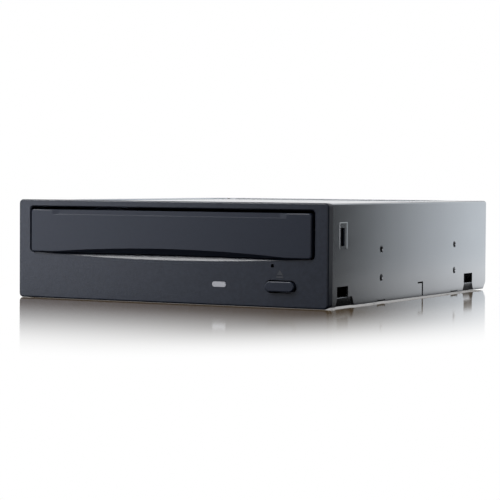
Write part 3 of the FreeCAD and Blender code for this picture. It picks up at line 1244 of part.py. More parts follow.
def make_loader_frame():
    solids = both_sides(frame_side())
    floor_low = GEAR_FLOOR_TOP - GEAR_FLOOR_THICK
    wall_rear = CROSS_WALL_Y + FRAME_WALL
    solids.append(block(-FRAME_WALL_INNER, GEAR_FLOOR_RIGHT, FRAME_FRONT_Y, wall_rear, floor_low,
                        GEAR_FLOOR_TOP))
    solids.append(block(GEAR_FLOOR_RIGHT, FRAME_WALL_INNER, FRONT_POST_Y - POST_R, wall_rear,
                        floor_low, GEAR_FLOOR_TOP))
    solids.append(block(-FRAME_WALL_INNER, CROSS_WALL_RIGHT, CROSS_WALL_Y, wall_rear, TRACK_LOW,
                        SLIDER_TOP))
    solids.append(block(CROSS_WALL_RIGHT, FRAME_WALL_INNER, CROSS_WALL_Y, wall_rear, TRACK_LOW,
                        GEAR_FLOOR_TOP))
    solids.append(centred_block(FRAME_WALL_INNER, CROSS_WALL_Y, TRACK_LIP_Y + TRACK_LIP_THICK,
                                TRACK_LOW, TRACK_TOP))
    solids.append(centred_block(FRAME_WALL_INNER, TRACK_LIP_Y, TRACK_LIP_Y + TRACK_LIP_THICK,
                                TRACK_LOW, TRACK_TOP + TRACK_LIP_HEIGHT))
    solids.append(centred_block(FRAME_WALL_INNER, FRAME_REAR_Y - FRAME_WALL, FRAME_REAR_Y,
                                REAR_BEAM_LOW, LEDGE_TOP))
    solids.append(disc(DRIVE_GEAR_X, DRIVE_GEAR_Y, floor_low, WHEEL_LOW - CLEARANCE, POST_R))
    solids.append(disc(DRIVE_GEAR_X, DRIVE_GEAR_Y, floor_low, RACK_PINION_TOP, GEAR_PIN_R))
    solids.append(disc(PULLEY_GEAR_X, PULLEY_GEAR_Y, floor_low, PULLEY_LOW - CLEARANCE, POST_R))
    solids.append(disc(PULLEY_GEAR_X, PULLEY_GEAR_Y, floor_low, WHEEL_TOP + CLEARANCE, GEAR_PIN_R))
    for x in FRONT_POSTS_X:
        solids.append(disc(x, FRONT_POST_Y, FRONT_BOARD_TOP, floor_low, POST_R))
    frame = joined(solids)
    tools = [disc(MOTOR_X, MOTOR_Y, floor_low - CUT_PAST, GEAR_FLOOR_TOP + CUT_PAST,
                  MOTOR_NECK_R + CLEARANCE)]
    for side in (-1, 1):
        tools.append(disc(MOTOR_X, MOTOR_Y + side * MOTOR_SCREW_OFFSET, floor_low - CUT_PAST,
                          GEAR_FLOOR_TOP + CUT_PAST, SMALL_SCREW_R + THREAD_GAP))
    for x in FRONT_POSTS_X:
        tools.append(disc(x, FRONT_POST_Y, FRONT_BOARD_TOP - CUT_PAST,
                          FRONT_BOARD_TOP + BOARD_SCREW_BITE, BOARD_SCREW_R + THREAD_GAP))
    side_tools = [rod_along_x(HINGE_Y, HINGE_Z, BOARD_POST_X - BRACKET_WIDTH,
                              BOARD_POST_X + BRACKET_WIDTH, HINGE_PIN_R + RUNNING_GAP)]
    for y in (EAR_FRONT_Y, EAR_REAR_Y):
        side_tools.append(disc(COVER_SCREW_X, y, EAR_TOP - CUT_PAST, EAR_TOP + COVER_SCREW_BITE,
                               COVER_SCREW_R + THREAD_GAP))
    for x, y in ((BOARD_ARM_X, BOARD_ARM_Y), (BOARD_POST_X, BOARD_POST_Y)):
        side_tools.append(disc(x, y, BOARD_TOP - CUT_PAST, BOARD_TOP + BOARD_SCREW_BITE,
                               BOARD_SCREW_R + THREAD_GAP))
    for y in bridge_screw_rows():
        side_tools.append(disc(BRIDGE_SCREW_X, y, HOLD_DOWN_LOW, HOLD_DOWN_TOP + CUT_PAST,
                               SMALL_SCREW_R + THREAD_GAP))
    return without(frame, tools + both_sides(side_tools))


def bridge_screw_rows():
    reach = BRIDGE_WIDTH / 2.0 - BRIDGE_SCREW_INSET
    return (DISC_Y - reach, DISC_Y + reach)


def make_cam_slider():
    # A plate with two sloping slots: moving it across lowers the pins of the lift frame
    plate = block(SLIDER_LEFT, SLIDER_RIGHT, SLIDER_FRONT_Y, SLIDER_REAR_Y, SLIDER_LOW, SLIDER_TOP)
    ramp_top = SLIDER_TOP
    ramp_low = ramp_top - RELEASE_RAMP_HEIGHT
    tip = PINHOLE_X - RELEASE_RAMP_WIDTH / 2.0
    ramp = polygon([vec(tip + RELEASE_RAMP_WIDTH, SLIDER_FRONT_Y, ramp_low),
                    vec(tip, SLIDER_FRONT_Y, ramp_low),
                    vec(tip, SLIDER_FRONT_Y - RELEASE_RAMP_REACH, ramp_low)])
    ramp = ramp.extrude(vec(0, 0, ramp_top - ramp_low))
    tools = []
    radius = CAM_PIN_R + CAM_PIN_PLAY
    for x in (-CAM_PIN_X, CAM_PIN_X):
        ends = [(x, HINGE_Z), (x + SLIDER_TRAVEL, HINGE_Z - CAM_DROP)]
        tools += [rod_along_y(a, b, SLIDER_FRONT_Y - CUT_PAST, SLIDER_REAR_Y + CUT_PAST, radius)
                  for a, b in ends]
        length = math.hypot(SLIDER_TRAVEL, CAM_DROP)
        ux, uz = -CAM_DROP / length * radius, -SLIDER_TRAVEL / length * radius
        corners = [(ends[0][0] + ux, ends[0][1] + uz), (ends[1][0] + ux, ends[1][1] + uz),
                   (ends[1][0] - ux, ends[1][1] - uz), (ends[0][0] - ux, ends[0][1] - uz)]
        slot = polygon([vec(a, SLIDER_FRONT_Y - CUT_PAST, b) for a, b in corners])
        tools.append(slot.extrude(vec(0, SLIDER_THICK + 2.0 * CUT_PAST, 0)))
    return without(joined([plate, ramp]), tools)


# Lift frame and traverse

def rubber_places():
    return [(x, y) for y in (RUBBER_FRONT_Y, RUBBER_REAR_Y) for x in (-RUBBER_X, RUBBER_X)]


def make_lift_frame():
    plate_low = LIFT_PLATE_TOP - LIFT_PLATE
    plate = centred_block(LIFT_HALF, LIFT_FRONT_Y, LIFT_REAR_Y, plate_low, LIFT_PLATE_TOP)
    skirt = centred_block(LIFT_HALF, LIFT_FRONT_Y, LIFT_REAR_Y, LIFT_LOW, LIFT_WALL_TOP)
    skirt = skirt.cut(centred_block(LIFT_HALF - LIFT_WALL, LIFT_FRONT_Y + LIFT_WALL,
                                    LIFT_REAR_Y - LIFT_WALL, LIFT_LOW - CUT_PAST,
                                    LIFT_WALL_TOP + CUT_PAST))
    inner = centred_block(LIFT_OPENING_HALF + LIFT_WALL, LIFT_OPENING_FRONT - LIFT_WALL,
                          LIFT_OPENING_REAR + LIFT_WALL, LIFT_LOW, LIFT_PLATE_TOP)
    solids = [plate, skirt, inner]
    for x, y in rubber_places():
        solids.append(disc(x, y, LIFT_LOW, LIFT_PLATE_TOP, POST_R))
    for side in (-1, 1):
        solids.append(rod_along_y(side * CAM_PIN_X, HINGE_Z, SLIDER_FRONT_Y - SLIDER_GAP / 2.0,
                                  LIFT_FRONT_Y + LIFT_WALL, CAM_PIN_R))
    pad = rod_along_x(HINGE_Y, HINGE_Z, LIFT_HALF - LIFT_WALL, LIFT_HALF + CLEARANCE, HINGE_PAD_R)
    pin = rod_along_x(HINGE_Y, HINGE_Z, LIFT_HALF - LIFT_WALL,
                      BOARD_POST_X + BRACKET_WIDTH / 2.0, HINGE_PIN_R)
    frame = joined(solids + both_sides([pad, pin]))
    opening = centred_block(LIFT_OPENING_HALF, LIFT_OPENING_FRONT, LIFT_OPENING_REAR,
                            LIFT_LOW - CUT_PAST, LIFT_WALL_TOP + CUT_PAST)
    holes = [disc(x, y, LIFT_LOW + LIFT_PLATE, LIFT_PLATE_TOP + CUT_PAST, MOUNT_SCREW_R + THREAD_GAP)
             for x, y in rubber_places()]
    return without(frame, [opening] + holes)


def make_rubber_mounts():
    mounts = []
    for x, y in rubber_places():
        body = disc(x, y, LIFT_PLATE_TOP, RUBBER_TOP, RUBBER_R)
        groove = ring(x, y, DECK_LOW, DECK_TOP, RUBBER_R + CUT_PAST, RUBBER_NECK_R)
        bore = disc(x, y, LIFT_PLATE_TOP - CUT_PAST, RUBBER_TOP + CUT_PAST, RUBBER_BORE_R)
        mounts.append(without(body, [groove, bore]))
    return Part.makeCompound(mounts)


def make_mount_screws():
    screws = []
    for x, y in rubber_places():
        head = disc(x, y, RUBBER_TOP, RUBBER_TOP + MOUNT_SCREW_HEAD_HEIGHT, MOUNT_SCREW_HEAD_R)
        shank = disc(x, y, LIFT_LOW + 2.0 * LIFT_PLATE, RUBBER_TOP, MOUNT_SCREW_R)
        screws.append(joined([head, shank]))
    return Part.makeCompound(screws)


def deck_tab(x, y, width, height, axis_z, hole_r):
    tab = block(x - width / 2.0, x + width / 2.0, y, y + DECK_SHEET, DECK_LOW, DECK_TOP + height)
    return tab.cut(rod_along_y(x, axis_z, y - CUT_PAST, y + DECK_SHEET + CUT_PAST, hole_r))


def make_traverse_deck():
    plate = centred_block(DECK_HALF, DECK_FRONT_Y, DECK_REAR_Y, DECK_LOW, DECK_TOP)
    plate = plate.makeFillet(DECK_CORNER, edges_along(plate, vec(0, 0, 1), lambda c: True))
    holes = [disc(0, DISC_Y, DECK_LOW - CUT_PAST, DECK_TOP + CUT_PAST, DECK_MOTOR_HOLE_R),
             centred_block(DECK_OPENING_HALF, DECK_OPENING_FRONT, LIFT_OPENING_REAR,
                           DECK_LOW - CUT_PAST, DECK_TOP + CUT_PAST)]
    for x, y in rubber_places():
        holes.append(disc(x, y, DECK_LOW - CUT_PAST, DECK_TOP + CUT_PAST,
                          RUBBER_NECK_R + RUNNING_GAP))
    motor_half = SLED_MOTOR_R + CLEARANCE
    holes.append(block(SCREW_X - motor_half, SCREW_X + motor_half,
                       SLED_MOTOR_FRONT_Y - CLEARANCE, SLED_MOTOR_REAR_Y, DECK_LOW - CUT_PAST,
                       DECK_TOP + CUT_PAST))
    plate = without(plate, holes)
    tabs = []
    for x in (-ROD_X, ROD_X):
        for y in (ROD_START_Y, ROD_TAB_REAR_Y):
            tabs.append(deck_tab(x, y, ROD_TAB_WIDTH, ROD_TAB_HEIGHT, ROD_Z, ROD_R + THREAD_GAP))
    tabs.append(deck_tab(SCREW_X, SLED_MOTOR_REAR_Y, 2.0 * SLED_MOTOR_R, SCREW_RISE + SLED_MOTOR_R,
                         SCREW_Z, SLED_MOTOR_SHAFT_R + CLEARANCE))
    tabs.append(deck_tab(SCREW_X, SCREW_TAB_REAR_Y, ROD_TAB_WIDTH, SCREW_RISE + 2.0 * SCREW_R,
                         SCREW_Z, SCREW_JOURNAL_R + RUNNING_GAP))
    return joined([plate] + tabs)


def guide_rod(x):
    return rod_along_y(x, ROD_Z, ROD_START_Y - CLEARANCE, ROD_END_Y, ROD_R)


def make_guide_rod_main():
    return guide_rod(-ROD_X)


def make_guide_rod_sub():
    return guide_rod(ROD_X)


def make_lead_screw():
    # A screw with shallow turned grooves, on a journal at its rear end
    start = SLED_MOTOR_REAR_Y + DECK_SHEET + CLEARANCE
    end = SCREW_TAB_REAR_Y - CLEARANCE
    solids = [rod_along_y(SCREW_X, SCREW_Z, start, end, SCREW_R - SCREW_GROOVE)]
    pitch = (end - start) / (SCREW_GROOVES + 0.5)
    for turn in range(SCREW_GROOVES + 1):
        y = start + turn * pitch
        solids.append(rod_along_y(SCREW_X, SCREW_Z, y, y + pitch / 2.0, SCREW_R))
    solids.append(rod_along_y(SCREW_X, SCREW_Z, SLED_MOTOR_REAR_Y - SLED_MOTOR_R, start,
                              SLED_MOTOR_SHAFT_R))
    solids.append(rod_along_y(SCREW_X, SCREW_Z, end, SCREW_TAB_REAR_Y + DECK_SHEET + CLEARANCE,
                              SCREW_JOURNAL_R))
    return joined(solids)


def make_sled_motor():
    can = rod_along_y(SCREW_X, SCREW_Z, SLED_MOTOR_FRONT_Y, SLED_MOTOR_REAR_Y, SLED_MOTOR_R)
    bore = rod_along_y(SCREW_X, SCREW_Z, SLED_MOTOR_REAR_Y - SLED_MOTOR_R - RUNNING_GAP,
                       SLED_MOTOR_REAR_Y + CUT_PAST, SLED_MOTOR_SHAFT_R + RUNNING_GAP)
    return without(can, [bore])


def make_spindle_motor():
    # Base plate under the deck, bearing sleeve and stator
    plate_low = DECK_LOW - DECK_SHEET
    half = SPINDLE_PLATE_LENGTH / 2.0
    plate = centred_block(SPINDLE_PLATE_HALF, DISC_Y - half, DISC_Y + half, plate_low, DECK_LOW)
    plate = plate.makeChamfer(DECK_CORNER, edges_along(plate, vec(0, 0, 1), lambda c: True))
    sleeve_low = DECK_LOW - SPINDLE_SLEEVE_DROP
    stator_low = DECK_TOP + STATOR_RISE
    sleeve = disc(0, DISC_Y, sleeve_low, stator_low + STATOR_HEIGHT, SPINDLE_SLEEVE_R)
    stator = disc(0, DISC_Y, stator_low, stator_low + STATOR_HEIGHT, STATOR_R)
    bore = disc(0, DISC_Y, sleeve_low + DECK_SHEET, TABLE_LOW, SPINDLE_SHAFT_R + RUNNING_GAP)
    return without(joined([plate, sleeve, stator]), [bore])


def make_turntable():
    # Rotor cup, table and shaft, which turn as one
    cup_low = DECK_TOP + ROTOR_RISE
    cup = disc(0, DISC_Y, cup_low, TABLE_LOW, ROTOR_R)
    hollow = disc(0, DISC_Y, cup_low - CUT_PAST, TABLE_LOW - ROTOR_WALL, ROTOR_R - ROTOR_WALL)
    table = disc(0, DISC_Y, TABLE_LOW, TABLE_TOP, TABLE_R)
    shaft_low = DECK_LOW - SPINDLE_SLEEVE_DROP + DECK_SHEET + RUNNING_GAP
    shaft = disc(0, DISC_Y, shaft_low, TABLE_TOP + HUB_HEIGHT, SPINDLE_SHAFT_R)
    return joined([cup.cut(hollow), table, shaft])


def make_turntable_pad():
    return ring(0, DISC_Y, TABLE_TOP, DISC_PLANE, TABLE_R, TABLE_PAD_INNER_R)


def make_disc_hub():
    straight = disc(0, DISC_Y, TABLE_TOP, TABLE_TOP + HUB_HEIGHT / 2.0, HUB_R)
    cone = Part.makeCone(HUB_R, HUB_R - HUB_TAPER, HUB_HEIGHT / 2.0,
                         vec(0, DISC_Y, TABLE_TOP + HUB_HEIGHT / 2.0))
    bore = disc(0, DISC_Y, TABLE_TOP - CUT_PAST, TABLE_TOP + HUB_HEIGHT + CUT_PAST, SPINDLE_SHAFT_R)
    return without(joined([straight, cone]), [bore])


# Pickup

def make_sled():
    body = centred_block(SLED_HALF, SLED_FRONT_Y, SLED_REAR_Y, SLED_LOW, SLED_TOP)
    body = body.makeChamfer(SLED_EDGE, edges_along(body, vec(0, 0, 1), lambda c: True))
    arm_low = DECK_TOP + CLEARANCE + RUNNING_GAP
    arm_top = ROD_Z + ROD_R + FRAME_WALL
    arm = block(-ROD_X - ROD_R - FRAME_WALL, -SLED_HALF, SLED_FRONT_Y + SLED_ARM_INSET,
                SLED_REAR_Y - SLED_EDGE, arm_low, arm_top)
    fork_front = LENS_Y
    fork = block(SLED_HALF, ROD_X + ROD_R + RUNNING_GAP, fork_front,
                 fork_front + SLED_FORK_LENGTH, arm_low, arm_top)
    running = ROD_R + RUNNING_GAP
    main_bore = rod_along_y(-ROD_X, ROD_Z, SLED_FRONT_Y, SLED_REAR_Y, running)
    sub_bore = rod_along_y(ROD_X, ROD_Z, SLED_FRONT_Y, SLED_REAR_Y, running)
    sub_mouth = block(ROD_X, CUT_FAR, SLED_FRONT_Y, SLED_REAR_Y, ROD_Z - running, ROD_Z + running)
    beam_path = disc(0, LENS_Y, SLED_LOW + FRAME_WALL, SLED_TOP + CUT_PAST, LENS_R)
    return without(joined([body, arm, fork]), [main_bore, sub_bore, sub_mouth, beam_path])


def make_sled_cover():
    inset = SLED_EDGE
    plate = centred_block(SLED_HALF - inset, SLED_FRONT_Y + inset, SLED_REAR_Y - inset, SLED_TOP,
                          SLED_COVER_TOP)
    return without(plate, [disc(0, LENS_Y, SLED_TOP - CUT_PAST, SLED_COVER_TOP + CUT_PAST, LENS_R)])


def make_lens_holder():
    half = HOLDER_LENGTH / 2.0
    body = centred_block(HOLDER_WIDTH / 2.0, LENS_Y - half, LENS_Y + half,
                         HOLDER_TOP - HOLDER_HEIGHT, HOLDER_TOP)
    light_path = disc(0, LENS_Y, HOLDER_TOP - HOLDER_HEIGHT - CUT_PAST, HOLDER_TOP + CUT_PAST,
                      LENS_R - FRAME_WALL / 2.0)
    return without(body, [light_path])


def make_objective_lens():
    lens = disc(0, LENS_Y, HOLDER_TOP, LENS_TOP, LENS_R)
    rim = max(lens.Edges, key=lambda e: e.CenterOfMass.z)
    return lens.makeChamfer(LENS_THICK / 2.0, [rim])


def make_actuator_magnets():
    magnets = []
    for side in (-1, 1):
        near = HOLDER_LENGTH / 2.0 + MAGNET_GAP
        ends = sorted((LENS_Y + side * near, LENS_Y + side * (near + MAGNET_THICK)))
        magnets.append(centred_block(MAGNET_WIDTH / 2.0, ends[0], ends[1], SLED_COVER_TOP,
                                     SLED_COVER_TOP + MAGNET_HEIGHT))
    return Part.makeCompound(magnets)


def make_laser_diode():
    return rod_along_y(LASER_X, (SLED_LOW + SLED_TOP) / 2.0, SLED_REAR_Y,
                       SLED_REAR_Y + LASER_LENGTH, LASER_R)


def make_feed_nut():
    right = -ROD_X - ROD_R - FRAME_WALL
    start = SLED_FRONT_Y + SLED_LENGTH / 2.0
    low = DECK_TOP + CLEARANCE + RUNNING_GAP
    body = block(SCREW_X - NUT_HALF, right, start, start + NUT_LENGTH, low, SCREW_Z + NUT_HALF)
    bore = rod_along_y(SCREW_X, SCREW_Z, start - CUT_PAST, start + NUT_LENGTH + CUT_PAST,
                       SCREW_R + RUNNING_GAP)
    return without(body, [bore])


# Clamp

def make_clamp_bridge():
    # A strip over the disc, folded down to feet on the loader frame
    sheet = BRIDGE_SHEET
    foot_low = HOLD_DOWN_TOP
    end = FRAME_OUTER - CLEARANCE
    y0 = DISC_Y - BRIDGE_WIDTH / 2.0
    right = [(BRIDGE_SHOULDER_X, BRIDGE_LOW), (BRIDGE_FOOT_X, foot_low), (end, foot_low),
             (end, foot_low + sheet), (BRIDGE_FOOT_X + sheet / 2.0, foot_low + sheet),
             (BRIDGE_SHOULDER_X + sheet / 2.0, BRIDGE_TOP)]
    left = [(-x, z) for x, z in reversed(right)]
    strip = polygon([vec(x, y0, z) for x, z in right + left]).extrude(vec(0, BRIDGE_WIDTH, 0))
    edges = []
    for y in (y0, y0 + BRIDGE_WIDTH - sheet):
        edges.append(centred_block(BRIDGE_EDGE_HALF, y, y + sheet, BRIDGE_LOW,
                                   BRIDGE_TOP + BRIDGE_EDGE_HEIGHT))
    holes = [disc(0, DISC_Y, BRIDGE_LOW - CUT_PAST, BRIDGE_TOP + CUT_PAST,
                  CLAMPER_NECK_R + BRIDGE_HOLE_GAP)]
    for y in bridge_screw_rows():
        for x in (-BRIDGE_SCREW_X, BRIDGE_SCREW_X):
            holes.append(disc(x, y, foot_low - CUT_PAST, foot_low + sheet + CUT_PAST,
                              SMALL_SCREW_R + THREAD_GAP))
    return without(joined([strip] + edges), holes)


def make_bridge_screws():
    screws = []
    seat = HOLD_DOWN_TOP + BRIDGE_SHEET
    for y in bridge_screw_rows():
        for x in (-BRIDGE_SCREW_X, BRIDGE_SCREW_X):
            head = disc(x, y, seat, seat + SMALL_SCREW_HEAD_HEIGHT, SMALL_SCREW_HEAD_R)
            shank = disc(x, y, HOLD_DOWN_LOW + CLEARANCE, seat, SMALL_SCREW_R)
            screws.append(joined([head, shank]))
    return Part.makeCompound(screws)


def make_clamper():
    pad = disc(0, DISC_Y, CLAMPER_LOW, CLAMPER_LOW + CLAMPER_PAD, CLAMPER_R)
    neck = disc(0, DISC_Y, CLAMPER_LOW, CLAMPER_TOP, CLAMPER_NECK_R)
    flange = disc(0, DISC_Y, CLAMPER_FLANGE_LOW, CLAMPER_TOP, CLAMPER_FLANGE_R)
    recess = disc(0, DISC_Y, CLAMPER_LOW - CUT_PAST, CLAMPER_LOW + CLAMPER_RECESS, CLAMPER_RECESS_R)
    return without(joined([pad, neck, flange]), [recess])


def make_clamper_plate():
    return ring(0, DISC_Y, CLAMPER_TOP, CLAMPER_TOP + CLAMPER_PLATE, CLAMPER_PLATE_R,
                CLAMPER_PLATE_BORE_R)


# Circuit boards

def make_main_board():
    plate = centred_block(MAIN_BOARD_HALF, MAIN_BOARD_FRONT_Y, MAIN_BOARD_REAR_Y, BOARD_LOW,
                          BOARD_TOP)
    holes = [disc(x, y, BOARD_LOW - CUT_PAST, BOARD_TOP + CUT_PAST, BOARD_SCREW_R + THREAD_GAP)
             for x, y in main_board_screws()]
    return without(plate, holes)


def main_board_screws():
    places = ((BOARD_ARM_X, BOARD_ARM_Y), (BOARD_POST_X, BOARD_POST_Y))
    return [(side * x, y) for x, y in places for side in (-1, 1)]


def chip_blocks(low, top):
    # Each chip is placed by its middle, across the drive and ahead of the board's rear edge
    blocks = []
    for x, ahead, width, length in CHIPS:
        y = MAIN_BOARD_REAR_Y - ahead
        blocks.append(block(x - width / 2.0, x + width / 2.0, y - length / 2.0, y + length / 2.0,
                            low, top))
    return Part.makeCompound(blocks)


def make_board_chips():
    return chip_blocks(CHIP_LOW, BOARD_LOW)


def make_thermal_pads():
    return chip_blocks(FLOOR_TOP, CHIP_LOW)


def make_front_board():
    plate = block(FRONT_BOARD_LEFT, FRONT_BOARD_RIGHT, FRONT_BOARD_FRONT_Y, FRONT_BOARD_REAR_Y,
                  FRONT_BOARD_LOW, FRONT_BOARD_TOP)
    holes = [disc(x, FRONT_POST_Y, FRONT_BOARD_LOW - CUT_PAST, FRONT_BOARD_TOP + CUT_PAST,
                  BOARD_SCREW_R + THREAD_GAP) for x in FRONT_POSTS_X]
    return without(plate, holes)


def make_board_screws():
    screws = []
    places = [(x, y, BOARD_LOW, BOARD_TOP) for x, y in main_board_screws()]
    places += [(x, FRONT_POST_Y, FRONT_BOARD_LOW, FRONT_BOARD_TOP) for x in FRONT_POSTS_X]
    for x, y, low, top in places:
        head = disc(x, y, low - BOARD_SCREW_HEAD_HEIGHT, low, BOARD_SCREW_HEAD_R)
        shank = disc(x, y, low, top + BOARD_SCREW_BITE - CLEARANCE, BOARD_SCREW_R)
        screws.append(joined([head, shank]))
    return Part.makeCompound(screws)


def make_eject_switch():
    front = BUTTON_STEM_LENGTH + FRAME_WALL
    body = block(BUTTON_X - SWITCH_WIDTH / 2.0, BUTTON_X + SWITCH_WIDTH / 2.0, front,
                 front + SWITCH_LENGTH, FRONT_BOARD_TOP, FRONT_BOARD_TOP + SWITCH_HEIGHT)
    well_end = front + SWITCH_PLUNGER_SINK + BUTTON_TRAVEL + CLEARANCE
    well = rod_along_y(BUTTON_X, BUTTON_Z, front - CUT_PAST, well_end, SWITCH_PLUNGER_R + RUNNING_GAP)
    return without(body, [well])


def make_switch_plunger():
    return rod_along_y(BUTTON_X, BUTTON_Z, BUTTON_STEM_LENGTH,
                       BUTTON_STEM_LENGTH + FRAME_WALL + SWITCH_PLUNGER_SINK, SWITCH_PLUNGER_R)


def make_status_led():
    start = LIGHT_PIPE_REACH + FRAME_WALL / 4.0
    return block(LIGHT_X - LED_WIDTH / 2.0, LIGHT_X + LED_WIDTH / 2.0, start, start + LED_LENGTH,
                 FRONT_BOARD_TOP, FRONT_BOARD_TOP + LED_HEIGHT)


def blade_spans():
    # Data blade and power blade along X
    data = SOCKET_LEFT + SOCKET_ARM + BLADE_GAP
    power = data + DATA_BLADE + 2.0 * BLADE_GAP
    return ((data, data + DATA_BLADE), (power, power + POWER_BLADE))


def make_power_data_socket():
    # Housing with guide arms at both ends and two keyed blades
    right = SOCKET_LEFT + SOCKET_WIDTH
    top = BOARD_TOP + SOCKET_HEIGHT
    solids = [block(SOCKET_LEFT, right, SOCKET_FRONT_Y, SOCKET_REAR_Y, BOARD_TOP, top)]
    for x in (SOCKET_LEFT, right - SOCKET_ARM):
        solids.append(block(x, x + SOCKET_ARM, SOCKET_REAR_Y, BLADE_END_Y, BOARD_TOP, top))
    blade_low = BOARD_TOP + BLADE_LOW
    for x0, x1 in blade_spans():
        solids.append(block(x0, x1, SOCKET_REAR_Y, BLADE_END_Y, blade_low,
                            blade_low + BLADE_THICK))
        solids.append(block(x0, x0 + BLADE_KEY, SOCKET_REAR_Y, BLADE_END_Y,
                            blade_low - BLADE_KEY_DROP, blade_low))
    return joined(solids)


def make_socket_contacts():
    contacts = []
    low = BOARD_TOP + BLADE_LOW + BLADE_THICK
    for span, count in zip(blade_spans(), (DATA_CONTACTS, POWER_CONTACTS)):
        middle = (span[0] + span[1]) / 2.0
        for index in range(count):
            x = middle + (index - (count - 1) / 2.0) * CONTACT_PITCH
            contacts.append(block(x - CONTACT_WIDTH / 2.0, x + CONTACT_WIDTH / 2.0, SOCKET_REAR_Y,
                                  SOCKET_REAR_Y + CONTACT_LENGTH, low, low + CONTACT_THICK))
    return Part.makeCompound(contacts)


def ribbon_ends():
    # Rear end of the front board's connector and front end of the main board's
    return (FRONT_BOARD_REAR_Y, MAIN_BOARD_FRONT_Y)


def make_ribbon_sockets():
    half = RIBBON_WIDTH / 2.0 + FRAME_WALL / 2.0
    front_end, rear_start = ribbon_ends()
    front = block(RIBBON_X - half, RIBBON_X + half, front_end - RIBBON_SOCKET_LENGTH, front_end,
                  FRONT_BOARD_LOW - RIBBON_SOCKET_HEIGHT, FRONT_BOARD_LOW)
    rear = block(RIBBON_X - half, RIBBON_X + half, rear_start, rear_start + RIBBON_SOCKET_LENGTH,
                 BOARD_LOW - RIBBON_SOCKET_HEIGHT, BOARD_LOW)
    return Part.makeCompound([front, rear])


def make_front_ribbon():
    # A flat cable on the floor, from the front board's connector to the main board's
    front_end, rear_start = ribbon_ends()
    low = FLOOR_TOP + RIBBON_THICK
    front_z = FRONT_BOARD_LOW - RIBBON_SOCKET_HEIGHT / 2.0
    rear_z = BOARD_LOW - RIBBON_SOCKET_HEIGHT / 2.0
    run = CROSS_WALL_Y - front_end
    path = [(front_end, front_z), (front_end + run / 3.0, front_z),
            (CROSS_WALL_Y, low), (rear_start - run, low),
            (rear_start - run / 3.0, rear_z), (rear_start, rear_z)]
    upper = [(y, z + RIBBON_THICK) for y, z in reversed(path)]
    x = RIBBON_X - RIBBON_WIDTH / 2.0
    return polygon([vec(x, y, z) for y, z in path + upper]).extrude(vec(RIBBON_WIDTH, 0, 0))


PARTS = {
    "top_cover": make_top_cover,
    "bottom_cover": make_bottom_cover,
    "cover_screws": make_cover_screws,
    "bezel": make_bezel,
    "tray_door": make_tray_door,
    "eject_button": make_eject_button,
    "light_window": make_light_window,
    "loader_frame": make_loader_frame,
    "tray": make_tray,
    "loading_motor": make_loading_motor,
    "motor_screws": make_motor_screws,
    "motor_shaft": make_motor_shaft,
    "motor_pulley": make_motor_pulley,
    "drive_belt": make_drive_belt,
    "pulley_gear": make_pulley_gear,
    "drive_gear": make_drive_gear,
    "cam_slider": make_cam_slider,
    "lift_frame": make_lift_frame,
    "rubber_mounts": make_rubber_mounts,
    "mount_screws": make_mount_screws,
    "traverse_deck": make_traverse_deck,
    "guide_rod_main": make_guide_rod_main,
    "guide_rod_sub": make_guide_rod_sub,
    "lead_screw": make_lead_screw,
    "sled_motor": make_sled_motor,
    "spindle_motor": make_spindle_motor,
    "turntable": make_turntable,
    "turntable_pad": make_turntable_pad,
    "disc_hub": make_disc_hub,
    "sled": make_sled,
    "sled_cover": make_sled_cover,
    "lens_holder": make_lens_holder,
    "objective_lens": make_objective_lens,
    "actuator_magnets": make_actuator_magnets,
    "laser_diode": make_laser_diode,
    "feed_nut": make_feed_nut,
    "clamp_bridge": make_clamp_bridge,
    "bridge_screws": make_bridge_screws,
    "clamper": make_clamper,
    "clamper_plate": make_clamper_plate,
    "main_board": make_main_board,
    "board_chips": make_board_chips,
    "thermal_pads": make_thermal_pads,
    "front_board": make_front_board,
    "board_screws": make_board_screws,
    "eject_switch": make_eject_switch,
    "switch_plunger": make_switch_plunger,
    "status_led": make_status_led,
    "power_data_socket": make_power_data_socket,
    "socket_contacts": make_socket_contacts,
    "ribbon_sockets": make_ribbon_sockets,
    "front_ribbon": make_front_ribbon,
}


def main():
    os.makedirs("parts", exist_ok=True)
    for name, make in PARTS.items():
        shape = make()
        shape.translate(vec(0, FRAME_SHIFT_Y, 0))
        shape.exportStep("parts/" + name + ".step")


main()
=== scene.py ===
import math

import bmesh
import bpy
from mathutils import Matrix, Vector


